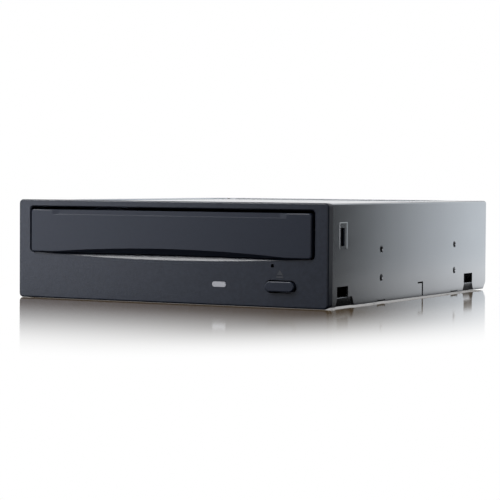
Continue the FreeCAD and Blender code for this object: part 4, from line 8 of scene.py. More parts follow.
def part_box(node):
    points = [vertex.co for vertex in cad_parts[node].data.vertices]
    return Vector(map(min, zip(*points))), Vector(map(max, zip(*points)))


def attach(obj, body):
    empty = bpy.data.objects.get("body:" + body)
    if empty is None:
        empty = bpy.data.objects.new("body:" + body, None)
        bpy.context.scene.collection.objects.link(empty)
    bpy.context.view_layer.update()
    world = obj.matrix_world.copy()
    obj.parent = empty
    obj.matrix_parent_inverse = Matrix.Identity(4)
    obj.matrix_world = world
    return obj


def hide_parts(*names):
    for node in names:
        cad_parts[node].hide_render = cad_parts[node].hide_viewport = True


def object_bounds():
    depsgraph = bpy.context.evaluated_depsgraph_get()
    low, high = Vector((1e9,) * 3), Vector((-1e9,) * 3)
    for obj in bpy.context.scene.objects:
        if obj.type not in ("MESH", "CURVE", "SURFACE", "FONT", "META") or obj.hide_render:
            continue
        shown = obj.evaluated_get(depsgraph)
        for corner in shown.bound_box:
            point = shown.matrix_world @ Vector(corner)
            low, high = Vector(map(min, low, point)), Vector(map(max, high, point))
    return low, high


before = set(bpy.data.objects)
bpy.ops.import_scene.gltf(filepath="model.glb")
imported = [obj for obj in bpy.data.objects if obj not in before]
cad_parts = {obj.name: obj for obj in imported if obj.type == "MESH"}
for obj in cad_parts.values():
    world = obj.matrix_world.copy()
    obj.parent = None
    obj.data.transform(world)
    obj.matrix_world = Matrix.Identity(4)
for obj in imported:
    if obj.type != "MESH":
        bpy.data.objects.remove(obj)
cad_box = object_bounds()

# An optical disc drive with its tray shut, on a pale glossy table.
# The scene is in metres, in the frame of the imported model. Places on the drive, and the
# sizes of the pieces made here, are in millimetres, measured from the bezel's rear face (Y)
# and lower edge (Z), as on a drawing of the drive.

MM = 0.001
BEZEL_BACK_Y = -79.3

# Camera, as fitted to the corners and holes of the drive
CAMERA_PLACE = (399.64, -665.73, 50.92)
CAMERA_YAW = math.radians(28.62)
CAMERA_PITCH = math.radians(2.14)
CAMERA_ROLL = math.radians(0.37)
CAMERA_FOCAL_PIXELS = 1877.66
CAMERA_CLIP = (0.01, 100.0)
IMAGE_PIXELS = 500
SENSOR_MM = 36.0


def place(x, y, z):
    """A place on the drawing, as a point of the scene."""
    return Vector((x, y + BEZEL_BACK_Y, z)) * MM


# Node materials

class Graph:
    """The nodes of one material or world."""

    def __init__(self, owner, output):
        owner.use_nodes = True
        self.owner = owner
        self.tree = owner.node_tree
        self.tree.nodes.clear()
        self.output = self.tree.nodes.new(output)

    def put(self, socket, value):
        """Wires an output to a socket, or sets the socket to a plain value."""
        if isinstance(value, bpy.types.NodeSocket):
            self.tree.links.new(value, socket)
        else:
            socket.default_value = value

    def add(self, kind, settings=None, **inputs):
        """A new node, with its inputs set or wired by name."""
        node = self.tree.nodes.new(kind)
        for key, value in (settings or {}).items():
            setattr(node, key, value)
        for key, value in inputs.items():
            self.put(node.inputs[key.replace("_", " ")], value)
        return node

    def out(self, kind, settings=None, **inputs):
        """The first output of a new node."""
        return self.add(kind, settings, **inputs).outputs[0]

    def calc(self, operation, first, second=0.0):
        node = self.add("ShaderNodeMath", {"operation": operation})
        self.put(node.inputs[0], first)
        self.put(node.inputs[1], second)
        return node.outputs[0]

    def ramp(self, value, start, end, low=0.0, high=1.0, kind="SMOOTHSTEP"):
        """Goes from low to high while the value goes from start to end."""
        return self.out("ShaderNodeMapRange", {"interpolation_type": kind}, Value=value,
                        From_Min=start, From_Max=end, To_Min=low, To_Max=high)

    def spread(self, value, low, high):
        """Maps 0..1 to low..high."""
        return self.ramp(value, 0.0, 1.0, low, high, "LINEAR")

    def split(self, vector):
        """The X, Y and Z of a vector."""
        return self.add("ShaderNodeSeparateXYZ", Vector=vector).outputs

    def slant(self):
        """0 where the surface is met straight on, 1 where it is met edge on."""
        return self.add("ShaderNodeLayerWeight", Blend=0.5).outputs["Facing"]

    def tint(self, factor, start, end):
        """From one colour to another with the factor."""
        node = self.add("ShaderNodeMix", {"data_type": "RGBA"})
        for socket, value in zip((node.inputs[0], node.inputs[6], node.inputs[7]),
                                 (factor, (*start[:3], 1.0), (*end[:3], 1.0))):
            self.put(socket, value)
        return node.outputs[2]

    def mix(self, factor, start, end):
        """From one surface to another with the factor."""
        node = self.add("ShaderNodeMixShader", Fac=factor)
        self.put(node.inputs[1], start)
        self.put(node.inputs[2], end)
        return node.outputs[0]

    def both(self, first, second):
        """The light of two surfaces together."""
        node = self.add("ShaderNodeAddShader")
        self.put(node.inputs[0], first)
        self.put(node.inputs[1], second)
        return node.outputs[0]

    def leant(self, normal, push):
        """A normal that is pushed by a vector and brought back to unit length."""
        total = self.add("ShaderNodeVectorMath", {"operation": "ADD"})
        self.put(total.inputs[0], normal)
        self.put(total.inputs[1], push)
        return self.out("ShaderNodeVectorMath", {"operation": "NORMALIZE"},
                        Vector=total.outputs[0])

    def coordinates(self, stretch=(1.0, 1.0, 1.0)):
        texture = self.add("ShaderNodeTexCoord")
        return self.out("ShaderNodeMapping", Vector=texture.outputs["Object"], Scale=stretch)

    def noise(self, where, scale, detail=2.0, roughness=0.5):
        node = self.add("ShaderNodeTexNoise", Vector=where, Scale=scale, Detail=detail,
                        Roughness=roughness)
        return node.outputs["Fac"]

    def bump(self, height, strength, distance):
        return self.out("ShaderNodeBump", Height=height, Strength=strength, Distance=distance)

    def finish(self, surface):
        self.put(self.output.inputs["Surface"], surface)
        return self.owner

    def finish_principled(self, **inputs):
        return self.finish(self.out("ShaderNodeBsdfPrincipled", **inputs))


def new_material(name):
    return Graph(bpy.data.materials.new(name), "ShaderNodeOutputMaterial")


def scaled(color, factor):
    return tuple(min(1.0, channel * factor) for channel in color)


# Heights of the fine surfaces, in metres
GRAIN_HEIGHT = 0.00006
RING_HEIGHT = 0.00003
RUBBER_HEIGHT = 0.00008
TRACK_HEIGHT = 0.00005
SPOTS_PER_GRAIN = 0.4

# The slope of the finger grip: below GRIP_TOP_Z, where the face looks up and to the front
GRIP_TOP_Z = 0.024
GRIP_TOP_BLEND = 0.001
GRIP_LOOKS_UP = (0.3, 0.5)
GRIP_LOOKS_FRONT = (-0.5, -0.3)
GRIP_LEAN = 0.45

# The narrow sides of the bezel, by how far the face looks sideways
SIDE_LOOK = (0.6, 0.9)
SIDE_SHEEN = 0.05

# The side walls of the case, apart from what looks down
WALL_LOOK = (0.75, 0.95)
WALL_NOT_DOWN = (-0.1, -0.03)
PRESS_SOFTNESS = 3.0


def leant_forward(s, normal):
    """The grip's slope rounds over: its shading leans towards the front."""
    geometry = s.add("ShaderNodeNewGeometry").outputs
    look = s.split(geometry["True Normal"])
    sloped = s.calc("MULTIPLY", s.ramp(look["Z"], *GRIP_LOOKS_UP),
                    s.ramp(look["Y"], *GRIP_LOOKS_FRONT, 1.0, 0.0))
    height = s.split(geometry["Position"])["Z"]
    below = s.ramp(height, GRIP_TOP_Z - GRIP_TOP_BLEND, GRIP_TOP_Z, 1.0, 0.0)
    push = s.out("ShaderNodeVectorMath", {"operation": "SCALE"}, Vector=(0.0, -GRIP_LEAN, 0.0),
                 Scale=s.calc("MULTIPLY", sloped, below))
    return s.leant(normal, push)


def side_sheen(s, specular):
    """The specular level of the bezel, whose narrow sides the mould leaves dull."""
    look = s.split(s.add("ShaderNodeNewGeometry").outputs["Normal"])
    return s.ramp(s.calc("ABSOLUTE", look["X"]), *SIDE_LOOK, specular, SIDE_SHEEN)


def softened_press(s):
    """Side walls: the slopes of shallow press marks and folds shade nearly as the wall does."""
    normal = s.add("ShaderNodeNewGeometry").outputs["Normal"]
    look = s.split(normal)
    wall = s.calc("MULTIPLY", s.ramp(s.calc("ABSOLUTE", look["X"]), *WALL_LOOK),
                  s.ramp(look["Z"], *WALL_NOT_DOWN))
    outward = s.calc("MULTIPLY", s.calc("MULTIPLY", wall, look["X"]), PRESS_SOFTNESS)
    return s.leant(normal, s.out("ShaderNodeCombineXYZ", X=outward))


def grained_plastic(name, color, roughness=0.5, grain=2600.0, depth=0.35, specular=0.5,
                    mottle=0.06, grip=False):
    """Moulded plastic with an eroded grain: fine bump, and a slight change of tone and gloss."""
    s = new_material(name)
    where = s.coordinates()
    fine = s.noise(where, grain, detail=3.0, roughness=0.6)
    spots = s.noise(where, grain * SPOTS_PER_GRAIN, detail=1.0)
    color_now = s.tint(spots, scaled(color, 1.0 - 2.0 * mottle), scaled(color, 1.0 + 2.0 * mottle))
    rough_now = s.spread(fine, roughness - 0.06, roughness + 0.06)
    normal = s.bump(fine, depth, GRAIN_HEIGHT)
    if grip:
        specular = side_sheen(s, specular)
        normal = leant_forward(s, normal)
    return s.finish_principled(Base_Color=color_now, Roughness=rough_now, Normal=normal,
                               Specular_IOR_Level=specular)


def sheet_metal(name, color, roughness=0.28, stretch=(260.0, 26.0, 260.0), clouds=0.04,
                pressed=False):
    """Rolled and plated sheet: cloudy plating, and long faint streaks in its gloss."""
    s = new_material(name)
    rolled = s.noise(s.coordinates(stretch), 1.0, detail=4.0, roughness=0.6)
    cloudy = s.noise(s.coordinates(), 55.0, detail=3.0)
    color_now = s.tint(cloudy, scaled(color, 1.0 - clouds), scaled(color, 1.0 + clouds))
    rough_now = s.spread(rolled, roughness - 0.03, roughness + 0.03)
    extra = {"Normal": softened_press(s)} if pressed else {}
    return s.finish_principled(Base_Color=color_now, Roughness=rough_now, Metallic=1.0, **extra)


def turned_metal(name, color, roughness=0.2, rings=1500.0):
    """Turned or ground metal: fine rings of gloss."""
    s = new_material(name)
    rings_now = s.noise(s.coordinates((1.0, 1.0, 6.0)), rings)
    color_now = s.tint(rings_now, scaled(color, 0.92), scaled(color, 1.06))
    rough_now = s.spread(rings_now, roughness - 0.05, roughness + 0.08)
    return s.finish_principled(Base_Color=color_now, Roughness=rough_now, Metallic=1.0,
                               Normal=s.bump(rings_now, 0.06, RING_HEIGHT))


def soft_rubber(name, color, roughness=0.75):
    """Rubber or silicone, dull and a little uneven. The tapped threads use it too, coloured near
    black as painted shade inside the holes.
    """
    s = new_material(name)
    fine = s.noise(s.coordinates(), 1400.0, detail=4.0, roughness=0.7)
    broad = s.noise(s.coordinates(), 90.0)
    color_now = s.tint(broad, scaled(color, 0.8), scaled(color, 1.25))
    rough_now = s.spread(fine, roughness - 0.1, roughness + 0.1)
    return s.finish_principled(Base_Color=color_now, Roughness=rough_now,
                               Normal=s.bump(fine, 0.25, RUBBER_HEIGHT),
                               Specular_IOR_Level=0.35)


def board_laminate(name, color, trace):
    """Solder resist over copper: a raised lattice of tracks under a glossy green coat."""
    s = new_material(name)
    where = s.coordinates()
    cells = s.add("ShaderNodeTexVoronoi", {"distance": "MANHATTAN", "feature": "F1"},
                  Vector=where, Scale=420.0)
    tracks = s.ramp(cells.outputs["Distance"], 0.35, 0.5, kind="LINEAR")
    rough_now = s.spread(s.noise(where, 1200.0), 0.22, 0.38)
    return s.finish_principled(Base_Color=s.tint(tracks, color, trace), Roughness=rough_now,
                               Normal=s.bump(tracks, 0.3, TRACK_HEIGHT))


def clear_guide(name, color, roughness, transmission):
    """A frosted light guide or a coated lens."""
    s = new_material(name)
    cloudy = s.noise(s.coordinates(), 900.0, detail=3.0)
    color_now = s.tint(cloudy, scaled(color, 0.93), scaled(color, 1.04))
    rough_now = s.spread(cloudy, roughness - 0.04, roughness + 0.06)
    return s.finish_principled(Base_Color=color_now, Roughness=rough_now,
                               Transmission_Weight=transmission)


STEEL = (0.60, 0.625, 0.66)
SLATE = (0.0173, 0.022, 0.0347)
DEEP_SLATE = (0.0120, 0.0170, 0.0310)
BLACK = (0.012, 0.012, 0.013)

CASE_STEEL = sheet_metal("case_steel", STEEL, roughness=0.2, pressed=True)
# The threads of the tapped holes are coloured near black: painted shade inside the holes.
THREAD_PAINTED_SHADE = soft_rubber("thread_painted_shade", (0.03, 0.03, 0.032), roughness=0.7)
COVER_STEEL = sheet_metal("cover_steel", (0.57, 0.58, 0.60), roughness=0.32,
                          stretch=(26.0, 260.0, 260.0))
DECK_STEEL = sheet_metal("deck_steel", (0.55, 0.56, 0.58), roughness=0.34)
SCREW_STEEL = turned_metal("screw_steel", (0.52, 0.53, 0.55), roughness=0.26)
AXLE_STEEL = turned_metal("axle_steel", (0.62, 0.62, 0.63), roughness=0.16)
MOTOR_STEEL = sheet_metal("motor_steel", (0.5, 0.5, 0.51), roughness=0.3,
                          stretch=(300.0, 300.0, 40.0))
SLED_METAL = sheet_metal("sled_metal", (0.42, 0.43, 0.45), roughness=0.45,
                         stretch=(700.0, 700.0, 700.0), clouds=0.1)
MAGNET = turned_metal("magnet", (0.55, 0.55, 0.57), roughness=0.3)
CONTACT_METAL = turned_metal("contact_metal", (0.83, 0.62, 0.26), roughness=0.22)
BEZEL_PLASTIC = grained_plastic("bezel_plastic", SLATE, roughness=0.36, grain=1700.0, depth=0.7,
                                mottle=0.15, grip=True)
DOOR_PLASTIC = grained_plastic("door_plastic", DEEP_SLATE, roughness=0.4, grain=2300.0, depth=0.3,
                               mottle=0.05)
BUTTON_PLASTIC = grained_plastic("button_plastic", DEEP_SLATE, roughness=0.38, grain=2300.0,
                                 depth=0.3)
# The moulded eject mark is coloured lighter than the bezel around it: a painted highlight on its
# raised faces.
MARK_PAINTED_HIGHLIGHT = grained_plastic("mark_painted_highlight", (0.052, 0.055, 0.064), grain=1700.0, depth=0.3)
# The clamp bridge is coloured black: painted shade where it shows through the gap above the tray
# door.
BRIDGE_PAINTED_SHADE = grained_plastic("bridge_painted_shade", BLACK, roughness=0.6, grain=900.0, depth=0.1,
                               specular=0.25)
FRAME_PLASTIC = grained_plastic("frame_plastic", BLACK, roughness=0.55, grain=1500.0, depth=0.3,
                                specular=0.4)
TRAY_PLASTIC = grained_plastic("tray_plastic", (0.016, 0.016, 0.018), roughness=0.42,
                               grain=2200.0, depth=0.25)
GEAR_PLASTIC = grained_plastic("gear_plastic", (0.62, 0.59, 0.5), roughness=0.42, grain=900.0,
                               depth=0.12, mottle=0.03)
HUB_PLASTIC = grained_plastic("hub_plastic", (0.03, 0.03, 0.032), roughness=0.38, grain=1500.0,
                              depth=0.15)
LENS_PLASTIC = grained_plastic("lens_plastic", (0.02, 0.02, 0.024), roughness=0.4, grain=1800.0,
                               depth=0.2)
SWITCH_PLASTIC = grained_plastic("switch_plastic", (0.014, 0.014, 0.014), roughness=0.4,
                                 grain=1400.0, depth=0.2)
CHIP_PLASTIC = grained_plastic("chip_plastic", (0.017, 0.017, 0.018), roughness=0.6, grain=3000.0,
                               depth=0.3)
SOCKET_PLASTIC = grained_plastic("socket_plastic", (0.01, 0.01, 0.011), roughness=0.45,
                                 grain=1600.0, depth=0.2)
RIBBON_PLASTIC = grained_plastic("ribbon_plastic", (0.62, 0.64, 0.68), roughness=0.4, grain=700.0,
                                 depth=0.1)
BELT_RUBBER = soft_rubber("belt_rubber", (0.012, 0.012, 0.012))
MOUNT_RUBBER = soft_rubber("mount_rubber", (0.03, 0.026, 0.026))
PAD_RUBBER = soft_rubber("pad_rubber", (0.018, 0.018, 0.018), roughness=0.85)
PAD_SILICONE = soft_rubber("pad_silicone", (0.3, 0.34, 0.38), roughness=0.8)
BOARD_LAMINATE = board_laminate("board_laminate", (0.012, 0.085, 0.03), trace=(0.02, 0.15, 0.05))
CLEAR_PLASTIC = clear_guide("clear_plastic", (0.53, 0.54, 0.58), roughness=0.35, transmission=0.0)
LENS_GLASS = clear_guide("lens_glass", (0.6, 0.72, 0.95), roughness=0.06, transmission=0.85)

NODE_MATERIALS = {
    CASE_STEEL: ["top_cover"],
    COVER_STEEL: ["bottom_cover"],
    DECK_STEEL: ["traverse_deck", "sled_cover", "clamper_plate"],
    BRIDGE_PAINTED_SHADE: ["clamp_bridge"],
    SCREW_STEEL: ["motor_screws", "mount_screws", "bridge_screws", "board_screws"],
    AXLE_STEEL: ["motor_shaft", "guide_rod_main", "guide_rod_sub", "lead_screw"],
    MOTOR_STEEL: ["loading_motor", "sled_motor", "spindle_motor", "laser_diode", "turntable"],
    SLED_METAL: ["sled"],
    MAGNET: ["actuator_magnets"],
    CONTACT_METAL: ["socket_contacts"],
    BEZEL_PLASTIC: ["bezel"],
    DOOR_PLASTIC: ["tray_door"],
    BUTTON_PLASTIC: ["eject_button"],
    FRAME_PLASTIC: ["loader_frame", "lift_frame"],
    TRAY_PLASTIC: ["tray"],
    GEAR_PLASTIC: ["motor_pulley", "pulley_gear", "drive_gear", "cam_slider", "feed_nut",
                   "clamper"],
    HUB_PLASTIC: ["disc_hub"],
    LENS_PLASTIC: ["lens_holder"],
    SWITCH_PLASTIC: ["eject_switch", "switch_plunger"],
    CHIP_PLASTIC: ["board_chips"],
    SOCKET_PLASTIC: ["power_data_socket", "ribbon_sockets"],
    RIBBON_PLASTIC: ["front_ribbon"],
    BELT_RUBBER: ["drive_belt"],
    MOUNT_RUBBER: ["rubber_mounts"],
    PAD_RUBBER: ["turntable_pad"],
    PAD_SILICONE: ["thermal_pads"],
    BOARD_LAMINATE: ["main_board", "front_board"],
    CLEAR_PLASTIC: ["light_window", "status_led"],
    LENS_GLASS: ["objective_lens"],
}

for material, nodes in NODE_MATERIALS.items():
    for node in nodes:
        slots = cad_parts[node].data.materials
        slots.clear()
        slots.append(material)


# Pieces made here

def built(name, mesh_maker):
    """A new object with the mesh that mesh_maker makes."""
    bm = bmesh.new()
    mesh_maker(bm)
    bmesh.ops.recalc_face_normals(bm, faces=bm.faces)
    mesh = bpy.data.meshes.new(name)
    bm.to_mesh(mesh)
    bm.free()
    made = bpy.data.objects.new(name, mesh)
    bpy.context.scene.collection.objects.link(made)
    return made


def new_piece(name, mesh_maker, material, body):
    piece = built(name, mesh_maker)
    piece.data.materials.append(material)
    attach(piece, body)
    return piece


def join_rings(bm, low, high):
    """A band of faces between two closed rings of vertices."""
    for index in range(len(low)):
        after = (index + 1) % len(low)
        bm.faces.new((low[index], low[after], high[after], high[index]))


def close_rings(bm, rings):
    """A closed skin over a row of rings."""
    for low, high in zip(rings, rings[1:]):
        join_rings(bm, low, high)
    bm.faces.new(rings[0])
    bm.faces.new(rings[-1])


# Eject mark: a triangle over a bar, moulded on the bezel beside the pinhole
MARK_TRIANGLE = ((51.2, 13.1), (54.2, 13.1), (52.7, 15.1))
MARK_BAR = ((51.2, 11.9), (54.2, 11.9), (54.2, 12.6), (51.2, 12.6))
MARK_SINK = 0.05
MARK_RAISE = 0.12
MARK_BEVEL = 0.06


def add_prism(bm, outline, depth_vector, bevel):
    """A closed prism of a flat outline, with its far face drawn in by a small bevel."""
    middle = sum(outline, Vector()) / len(outline)
    near = [bm.verts.new(p) for p in outline]
    waist = [bm.verts.new(p + depth_vector * 0.5) for p in outline]
    far = [bm.verts.new(p + depth_vector + (middle - p).normalized() * bevel) for p in outline]
    close_rings(bm, [near, waist, far])


def make_eject_mark(bm):
    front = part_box("bezel")[0].y / MM - BEZEL_BACK_Y
    depth_vector = Vector((0.0, -(MARK_RAISE + MARK_SINK) * MM, 0.0))
    for outline in (MARK_TRIANGLE, MARK_BAR):
        points = [place(x, front + MARK_SINK, z) for x, z in outline]
        add_prism(bm, points, depth_vector, MARK_BEVEL * MM)


# Threads of the tapped holes
THREAD_PITCH = 0.5
THREAD_STEPS = 28
THREAD_HOLE_R = 1.25
THREAD_CREST_R = 1.08
THREAD_SINK = 0.04
THREAD_HALF = THREAD_PITCH * 0.36
HOLE_ROWS_Y = (47.4, 126.64)
SIDE_HOLES_Z = (10.5, 22.34)
SIDE_WALL_X = (71.25, 72.7)
BOTTOM_HOLE_X = 69.85
BOTTOM_SHEET_Z = (0.6, 1.25)
X_AXIS = Vector((1, 0, 0))
Y_AXIS = Vector((0, 1, 0))
Z_AXIS = Vector((0, 0, 1))


def add_thread(bm, start, along, across, up, length):
    """A helical ridge on the wall of a hole, from start along its axis."""
    turns = length / THREAD_PITCH
    count = int(turns * THREAD_STEPS)
    corners = ((THREAD_HOLE_R + THREAD_SINK, -THREAD_HALF), (THREAD_CREST_R, 0.0),
               (THREAD_HOLE_R + THREAD_SINK, THREAD_HALF))
    rings = []
    for index in range(count + 1):
        share = index / count
        angle = share * turns * 2.0 * math.pi
        out = across * math.cos(angle) + up * math.sin(angle)
        centre = start + along * (share * length)
        rings.append([bm.verts.new((centre + out * r + along * a) * MM) for r, a in corners])
    close_rings(bm, rings)


def make_side_threads(bm):
    for side in (-1, 1):
        for row in HOLE_ROWS_Y:
            for height in SIDE_HOLES_Z:
                start = Vector((side * SIDE_WALL_X[0], row + BEZEL_BACK_Y, height))
                add_thread(bm, start, X_AXIS * side, Y_AXIS, Z_AXIS,
                           SIDE_WALL_X[1] - SIDE_WALL_X[0])


def make_bottom_threads(bm):
    for side in (-1, 1):
        for row in HOLE_ROWS_Y:
            start = Vector((side * BOTTOM_HOLE_X, row + BEZEL_BACK_Y, BOTTOM_SHEET_Z[0]))
            add_thread(bm, start, Z_AXIS, X_AXIS, Y_AXIS, BOTTOM_SHEET_Z[1] - BOTTOM_SHEET_Z[0])


# Cover screws: pan heads with a cross recess, seen from below
SCREW_PLACES = [(x, y) for x in (-66.0, 66.0) for y in (10.4, 143.3)]
SCREW_SEGMENTS = 40
SCREW_HEAD_R = 2.6
SCREW_HEAD_LOW = 1.5
SCREW_HEAD_TOP = 2.6
# The head's outline, as shares of its radius and height
SCREW_DOME = ((0.35, 0.0), (0.75, 0.1), (0.93, 0.35), (1.0, 0.7), (1.0, 1.0))
SCREW_SHANK_R = 1.15
SCREW_ROOT = 0.15
SCREW_CREST = 0.08
SCREW_END = 10.0
SCREW_END_SHARE = 0.6
CROSS_LONG = 1.7
CROSS_WIDE = 0.42
CROSS_DEPTH = 0.75
CROSS_TAPER = 0.6
CROSS_START = 0.2
# No two screws stop at the same turn
CROSS_TURN = math.radians(17.0)
CROSS_TURN_STEP = math.radians(38.0)


def screw_profile():
    """The radius and height of the screw's rings, from the head's face to the shank's end."""
    dome = SCREW_HEAD_TOP - SCREW_HEAD_LOW
    points = [(SCREW_HEAD_R * r, SCREW_HEAD_LOW + dome * z) for r, z in SCREW_DOME]
    points.append((SCREW_SHANK_R, SCREW_HEAD_TOP))
    z = SCREW_HEAD_TOP + THREAD_PITCH
    while z < SCREW_END - THREAD_PITCH:
        points.append((SCREW_SHANK_R - SCREW_ROOT, z))
        points.append((SCREW_SHANK_R + SCREW_CREST, z + THREAD_PITCH / 2.0))
        z += THREAD_PITCH
    points.append((SCREW_SHANK_R - SCREW_ROOT, z))
    points.append((SCREW_SHANK_R * SCREW_END_SHARE, SCREW_END))
    return points


def make_cover_screws(bm):
    turns = [2.0 * math.pi * index / SCREW_SEGMENTS for index in range(SCREW_SEGMENTS)]
    for x, y in SCREW_PLACES:
        rings = [[bm.verts.new(place(x + r * math.cos(turn), y + r * math.sin(turn), z))
                  for turn in turns] for r, z in screw_profile()]
        close_rings(bm, rings)


def make_cross_cutters(bm):
    corners = ((CROSS_LONG, -CROSS_WIDE), (CROSS_LONG, CROSS_WIDE), (CROSS_WIDE, CROSS_WIDE))
    levels = ((1.0, SCREW_HEAD_LOW - CROSS_START), (CROSS_TAPER, SCREW_HEAD_LOW + CROSS_DEPTH))
    for index, (x, y) in enumerate(SCREW_PLACES):
        rings = [[], []]
        for quarter in range(4):
            angle = CROSS_TURN + CROSS_TURN_STEP * index + quarter * math.pi / 2.0
            for u, v in corners:
                for ring, (shrink, z) in zip(rings, levels):
                    a, b = u * shrink, v * shrink
                    ring.append(bm.verts.new(place(x + a * math.cos(angle) - b * math.sin(angle),
                                                   y + a * math.sin(angle) + b * math.cos(angle),
                                                   z)))
        close_rings(bm, rings)


def cut_by(piece, make_cutter):
    """Cuts a second mesh out of a piece and keeps the result as its mesh."""
    cutter = built("cutter", make_cutter)
    modifier = piece.modifiers.new("cut", "BOOLEAN")
    modifier.object = cutter
    modifier.operation = "DIFFERENCE"
    modifier.solver = "EXACT"
    bpy.context.view_layer.update()
    graph = bpy.context.evaluated_depsgraph_get()
    result = bpy.data.meshes.new_from_object(piece.evaluated_get(graph))
    piece.modifiers.clear()
    piece.data = result
    bpy.data.objects.remove(cutter)


new_piece("eject_mark", make_eject_mark, MARK_PAINTED_HIGHLIGHT, "case")
new_piece("side_hole_threads", make_side_threads, THREAD_PAINTED_SHADE, "case")
new_piece("bottom_hole_threads", make_bottom_threads, THREAD_PAINTED_SHADE, "case")
screws = new_piece("cover_screw_heads", make_cover_screws, SCREW_STEEL, "case")
cut_by(screws, make_cross_cutters)
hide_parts("cover_screws")


# Studio

WHITE = (1.0, 1.0, 1.0, 1.0)
UNLIT = (0.0, 0.0, 0.0, 1.0)

# A card of graded light beside the drive, which the side wall mirrors from dark to light.
# It glows on the side that faces the drive, and is clear from behind. Its louvres let
# straight light through, so that the wall is plain and bright when seen from the side.
CARD_X = 0.175
CARD_SPAN_Y = (-0.15, 0.80)
CARD_HEIGHT = 0.50
CARD_GRADE_Y = (0.14, 0.36)
CARD_DARK = 0.02
CARD_LIGHT = 0.95
CARD_TONE = (0.93, 0.97, 1.0, 1.0)
CARD_LOUVRE = (0.08, 0.20)

# The floor: its place, and its own colour to diffuse light, which is darkened along the carried
# grade, to the left and where the drive stands: painted shade.
FLOOR_DROP = 0.00005
FLOOR_SIZE = 30.0
FLOOR_PAINT = (0.9, 0.9, 0.9)

# Its mirror image of the drive, by the distance from the drive and the slant of the view. Where
# the image shows, the floor's own glow darkens from white to brown: painted shadow.
REFLECTION_FADE = (0.010, 0.222)
REFLECTION_MIRROR = (0.95, 0.965, 0.98)
PAINTED_SHADOW_TONE = (0.05, 0.035, 0.02)
REFLECTION_BLUR = 0.07
GRAZING = (0.80, 0.885)
SIDE_FADE = 1.75

# The drive's shadow on it
SHADOW_FADE = 0.10
SHADOW_SHARE = 0.4

# Its own light in other mirrors: the card's grade, carried on along a slanted line, dimmer
# towards the left and where the drive stands on it
CARRIED_SLANT = 1.862
CARRIED_LEAD = 0.025
CARRIED_DARK = 0.05
DIM_LEFT = 0.2
DIM_LEFT_OF_X = 0.073
DIM_CONTACT = (0.003, 0.022)
DIM_CONTACT_LEVEL = 0.05

# Its own light under the drive
UNDER_LEVEL = 0.5
UNDER_X = 0.0705
UNDER_Y = 0.079
UNDER_BEHIND = 0.003
UNDER_EDGE = 0.0015


def floor_distance(s, spot):
    """How far a point of the floor is from the drive's outline."""
    half = (cad_box[1] - cad_box[0]) / 2.0
    squares = []
    for axis, reach, weight in (("X", half.x, SIDE_FADE), ("Y", half.y, 1.0)):
        beyond = s.calc("SUBTRACT", s.calc("ABSOLUTE", spot[axis]), reach)
        gap = s.calc("MULTIPLY", s.calc("MAXIMUM", beyond, 0.0), weight)
        squares.append(s.calc("POWER", gap, 2.0))
    return s.calc("SQRT", s.calc("ADD", *squares))


def mirrored_light(s, spot, distance):
    """How bright other mirrors see the floor."""
    across = s.calc("SUBTRACT", CARD_X, spot["X"])
    met = s.calc("ADD", spot["Y"], s.calc("MULTIPLY", across, CARRIED_SLANT))
    carried = s.ramp(s.calc("ADD", met, CARRIED_LEAD), *CARD_GRADE_Y, CARRIED_DARK, 1.0, "LINEAR")
    left = s.ramp(spot["X"], 0.0, DIM_LEFT_OF_X, DIM_LEFT, 1.0)
    contact = s.ramp(distance, *DIM_CONTACT, DIM_CONTACT_LEVEL, 1.0)
    return s.calc("MULTIPLY", s.calc("MULTIPLY", carried, left), contact)


def under_light(s, spot):
    """The floor below the drive glows a little, so that the drive's underside can be seen."""
    level = UNDER_LEVEL
    for axis, middle, reach in (("X", 0.0, UNDER_X), ("Y", UNDER_BEHIND, UNDER_Y)):
        size = s.calc("ABSOLUTE", s.calc("SUBTRACT", spot[axis], middle))
        level = s.calc("MULTIPLY", s.ramp(size, reach, reach + UNDER_EDGE, 1.0, 0.0), level)
    return level


def floor_material():
    """White table with the drive's mirror image, which fades to plain white, and its shadow. The
    shadow is partly lit by the lamps and partly painted, as the floor's glow darkening to brown
    near the drive. It is clear from below."""
    s = new_material("floor")
    geometry = s.add("ShaderNodeNewGeometry").outputs
    path = s.add("ShaderNodeLightPath").outputs
    spot = s.split(geometry["Position"])
    distance = floor_distance(s, spot)
    mirrored = mirrored_light(s, spot, distance)
    under = under_light(s, spot)
    straight = s.calc("MAXIMUM", path["Is Camera Ray"], path["Is Transmission Ray"])
    image = s.calc("MULTIPLY", s.ramp(distance, *REFLECTION_FADE, 1.0, 0.0),
                   s.ramp(s.slant(), *GRAZING))
    share = s.calc("MULTIPLY", image, straight)
    # Near the drive, where seen at a slant, the glow turns from white to dark brown: painted
    # shadow.
    tone = s.tint(share, WHITE, PAINTED_SHADOW_TONE)
    level = s.calc("MAXIMUM", straight, s.calc("MAXIMUM", mirrored, under))
    shadow = s.calc("MULTIPLY", straight, s.ramp(distance, 0.0, SHADOW_FADE, SHADOW_SHARE, 0.0))
    ground = s.mix(shadow, s.out("ShaderNodeEmission", Color=tone, Strength=level),
                   s.out("ShaderNodeBsdfDiffuse", Color=tone))
    mirror = s.out("ShaderNodeBsdfGlossy", Color=s.tint(share, UNLIT, REFLECTION_MIRROR),
                   Roughness=REFLECTION_BLUR)
    # The colour that diffuse light sees is darkened by the same grade as the light other mirrors
    # see: painted shade, dimmer to the left and where the drive stands.
    paint = s.out("ShaderNodeBsdfDiffuse", Color=s.tint(mirrored, UNLIT, FLOOR_PAINT))
    unseen = s.both(paint, s.out("ShaderNodeEmission", Strength=under))
    seen = s.calc("MAXIMUM", straight, path["Is Glossy Ray"])
    above = s.mix(seen, unseen, s.both(ground, mirror))
    below = s.out("ShaderNodeBsdfTransparent")
    return s.finish(s.mix(geometry["Backfacing"], above, below))


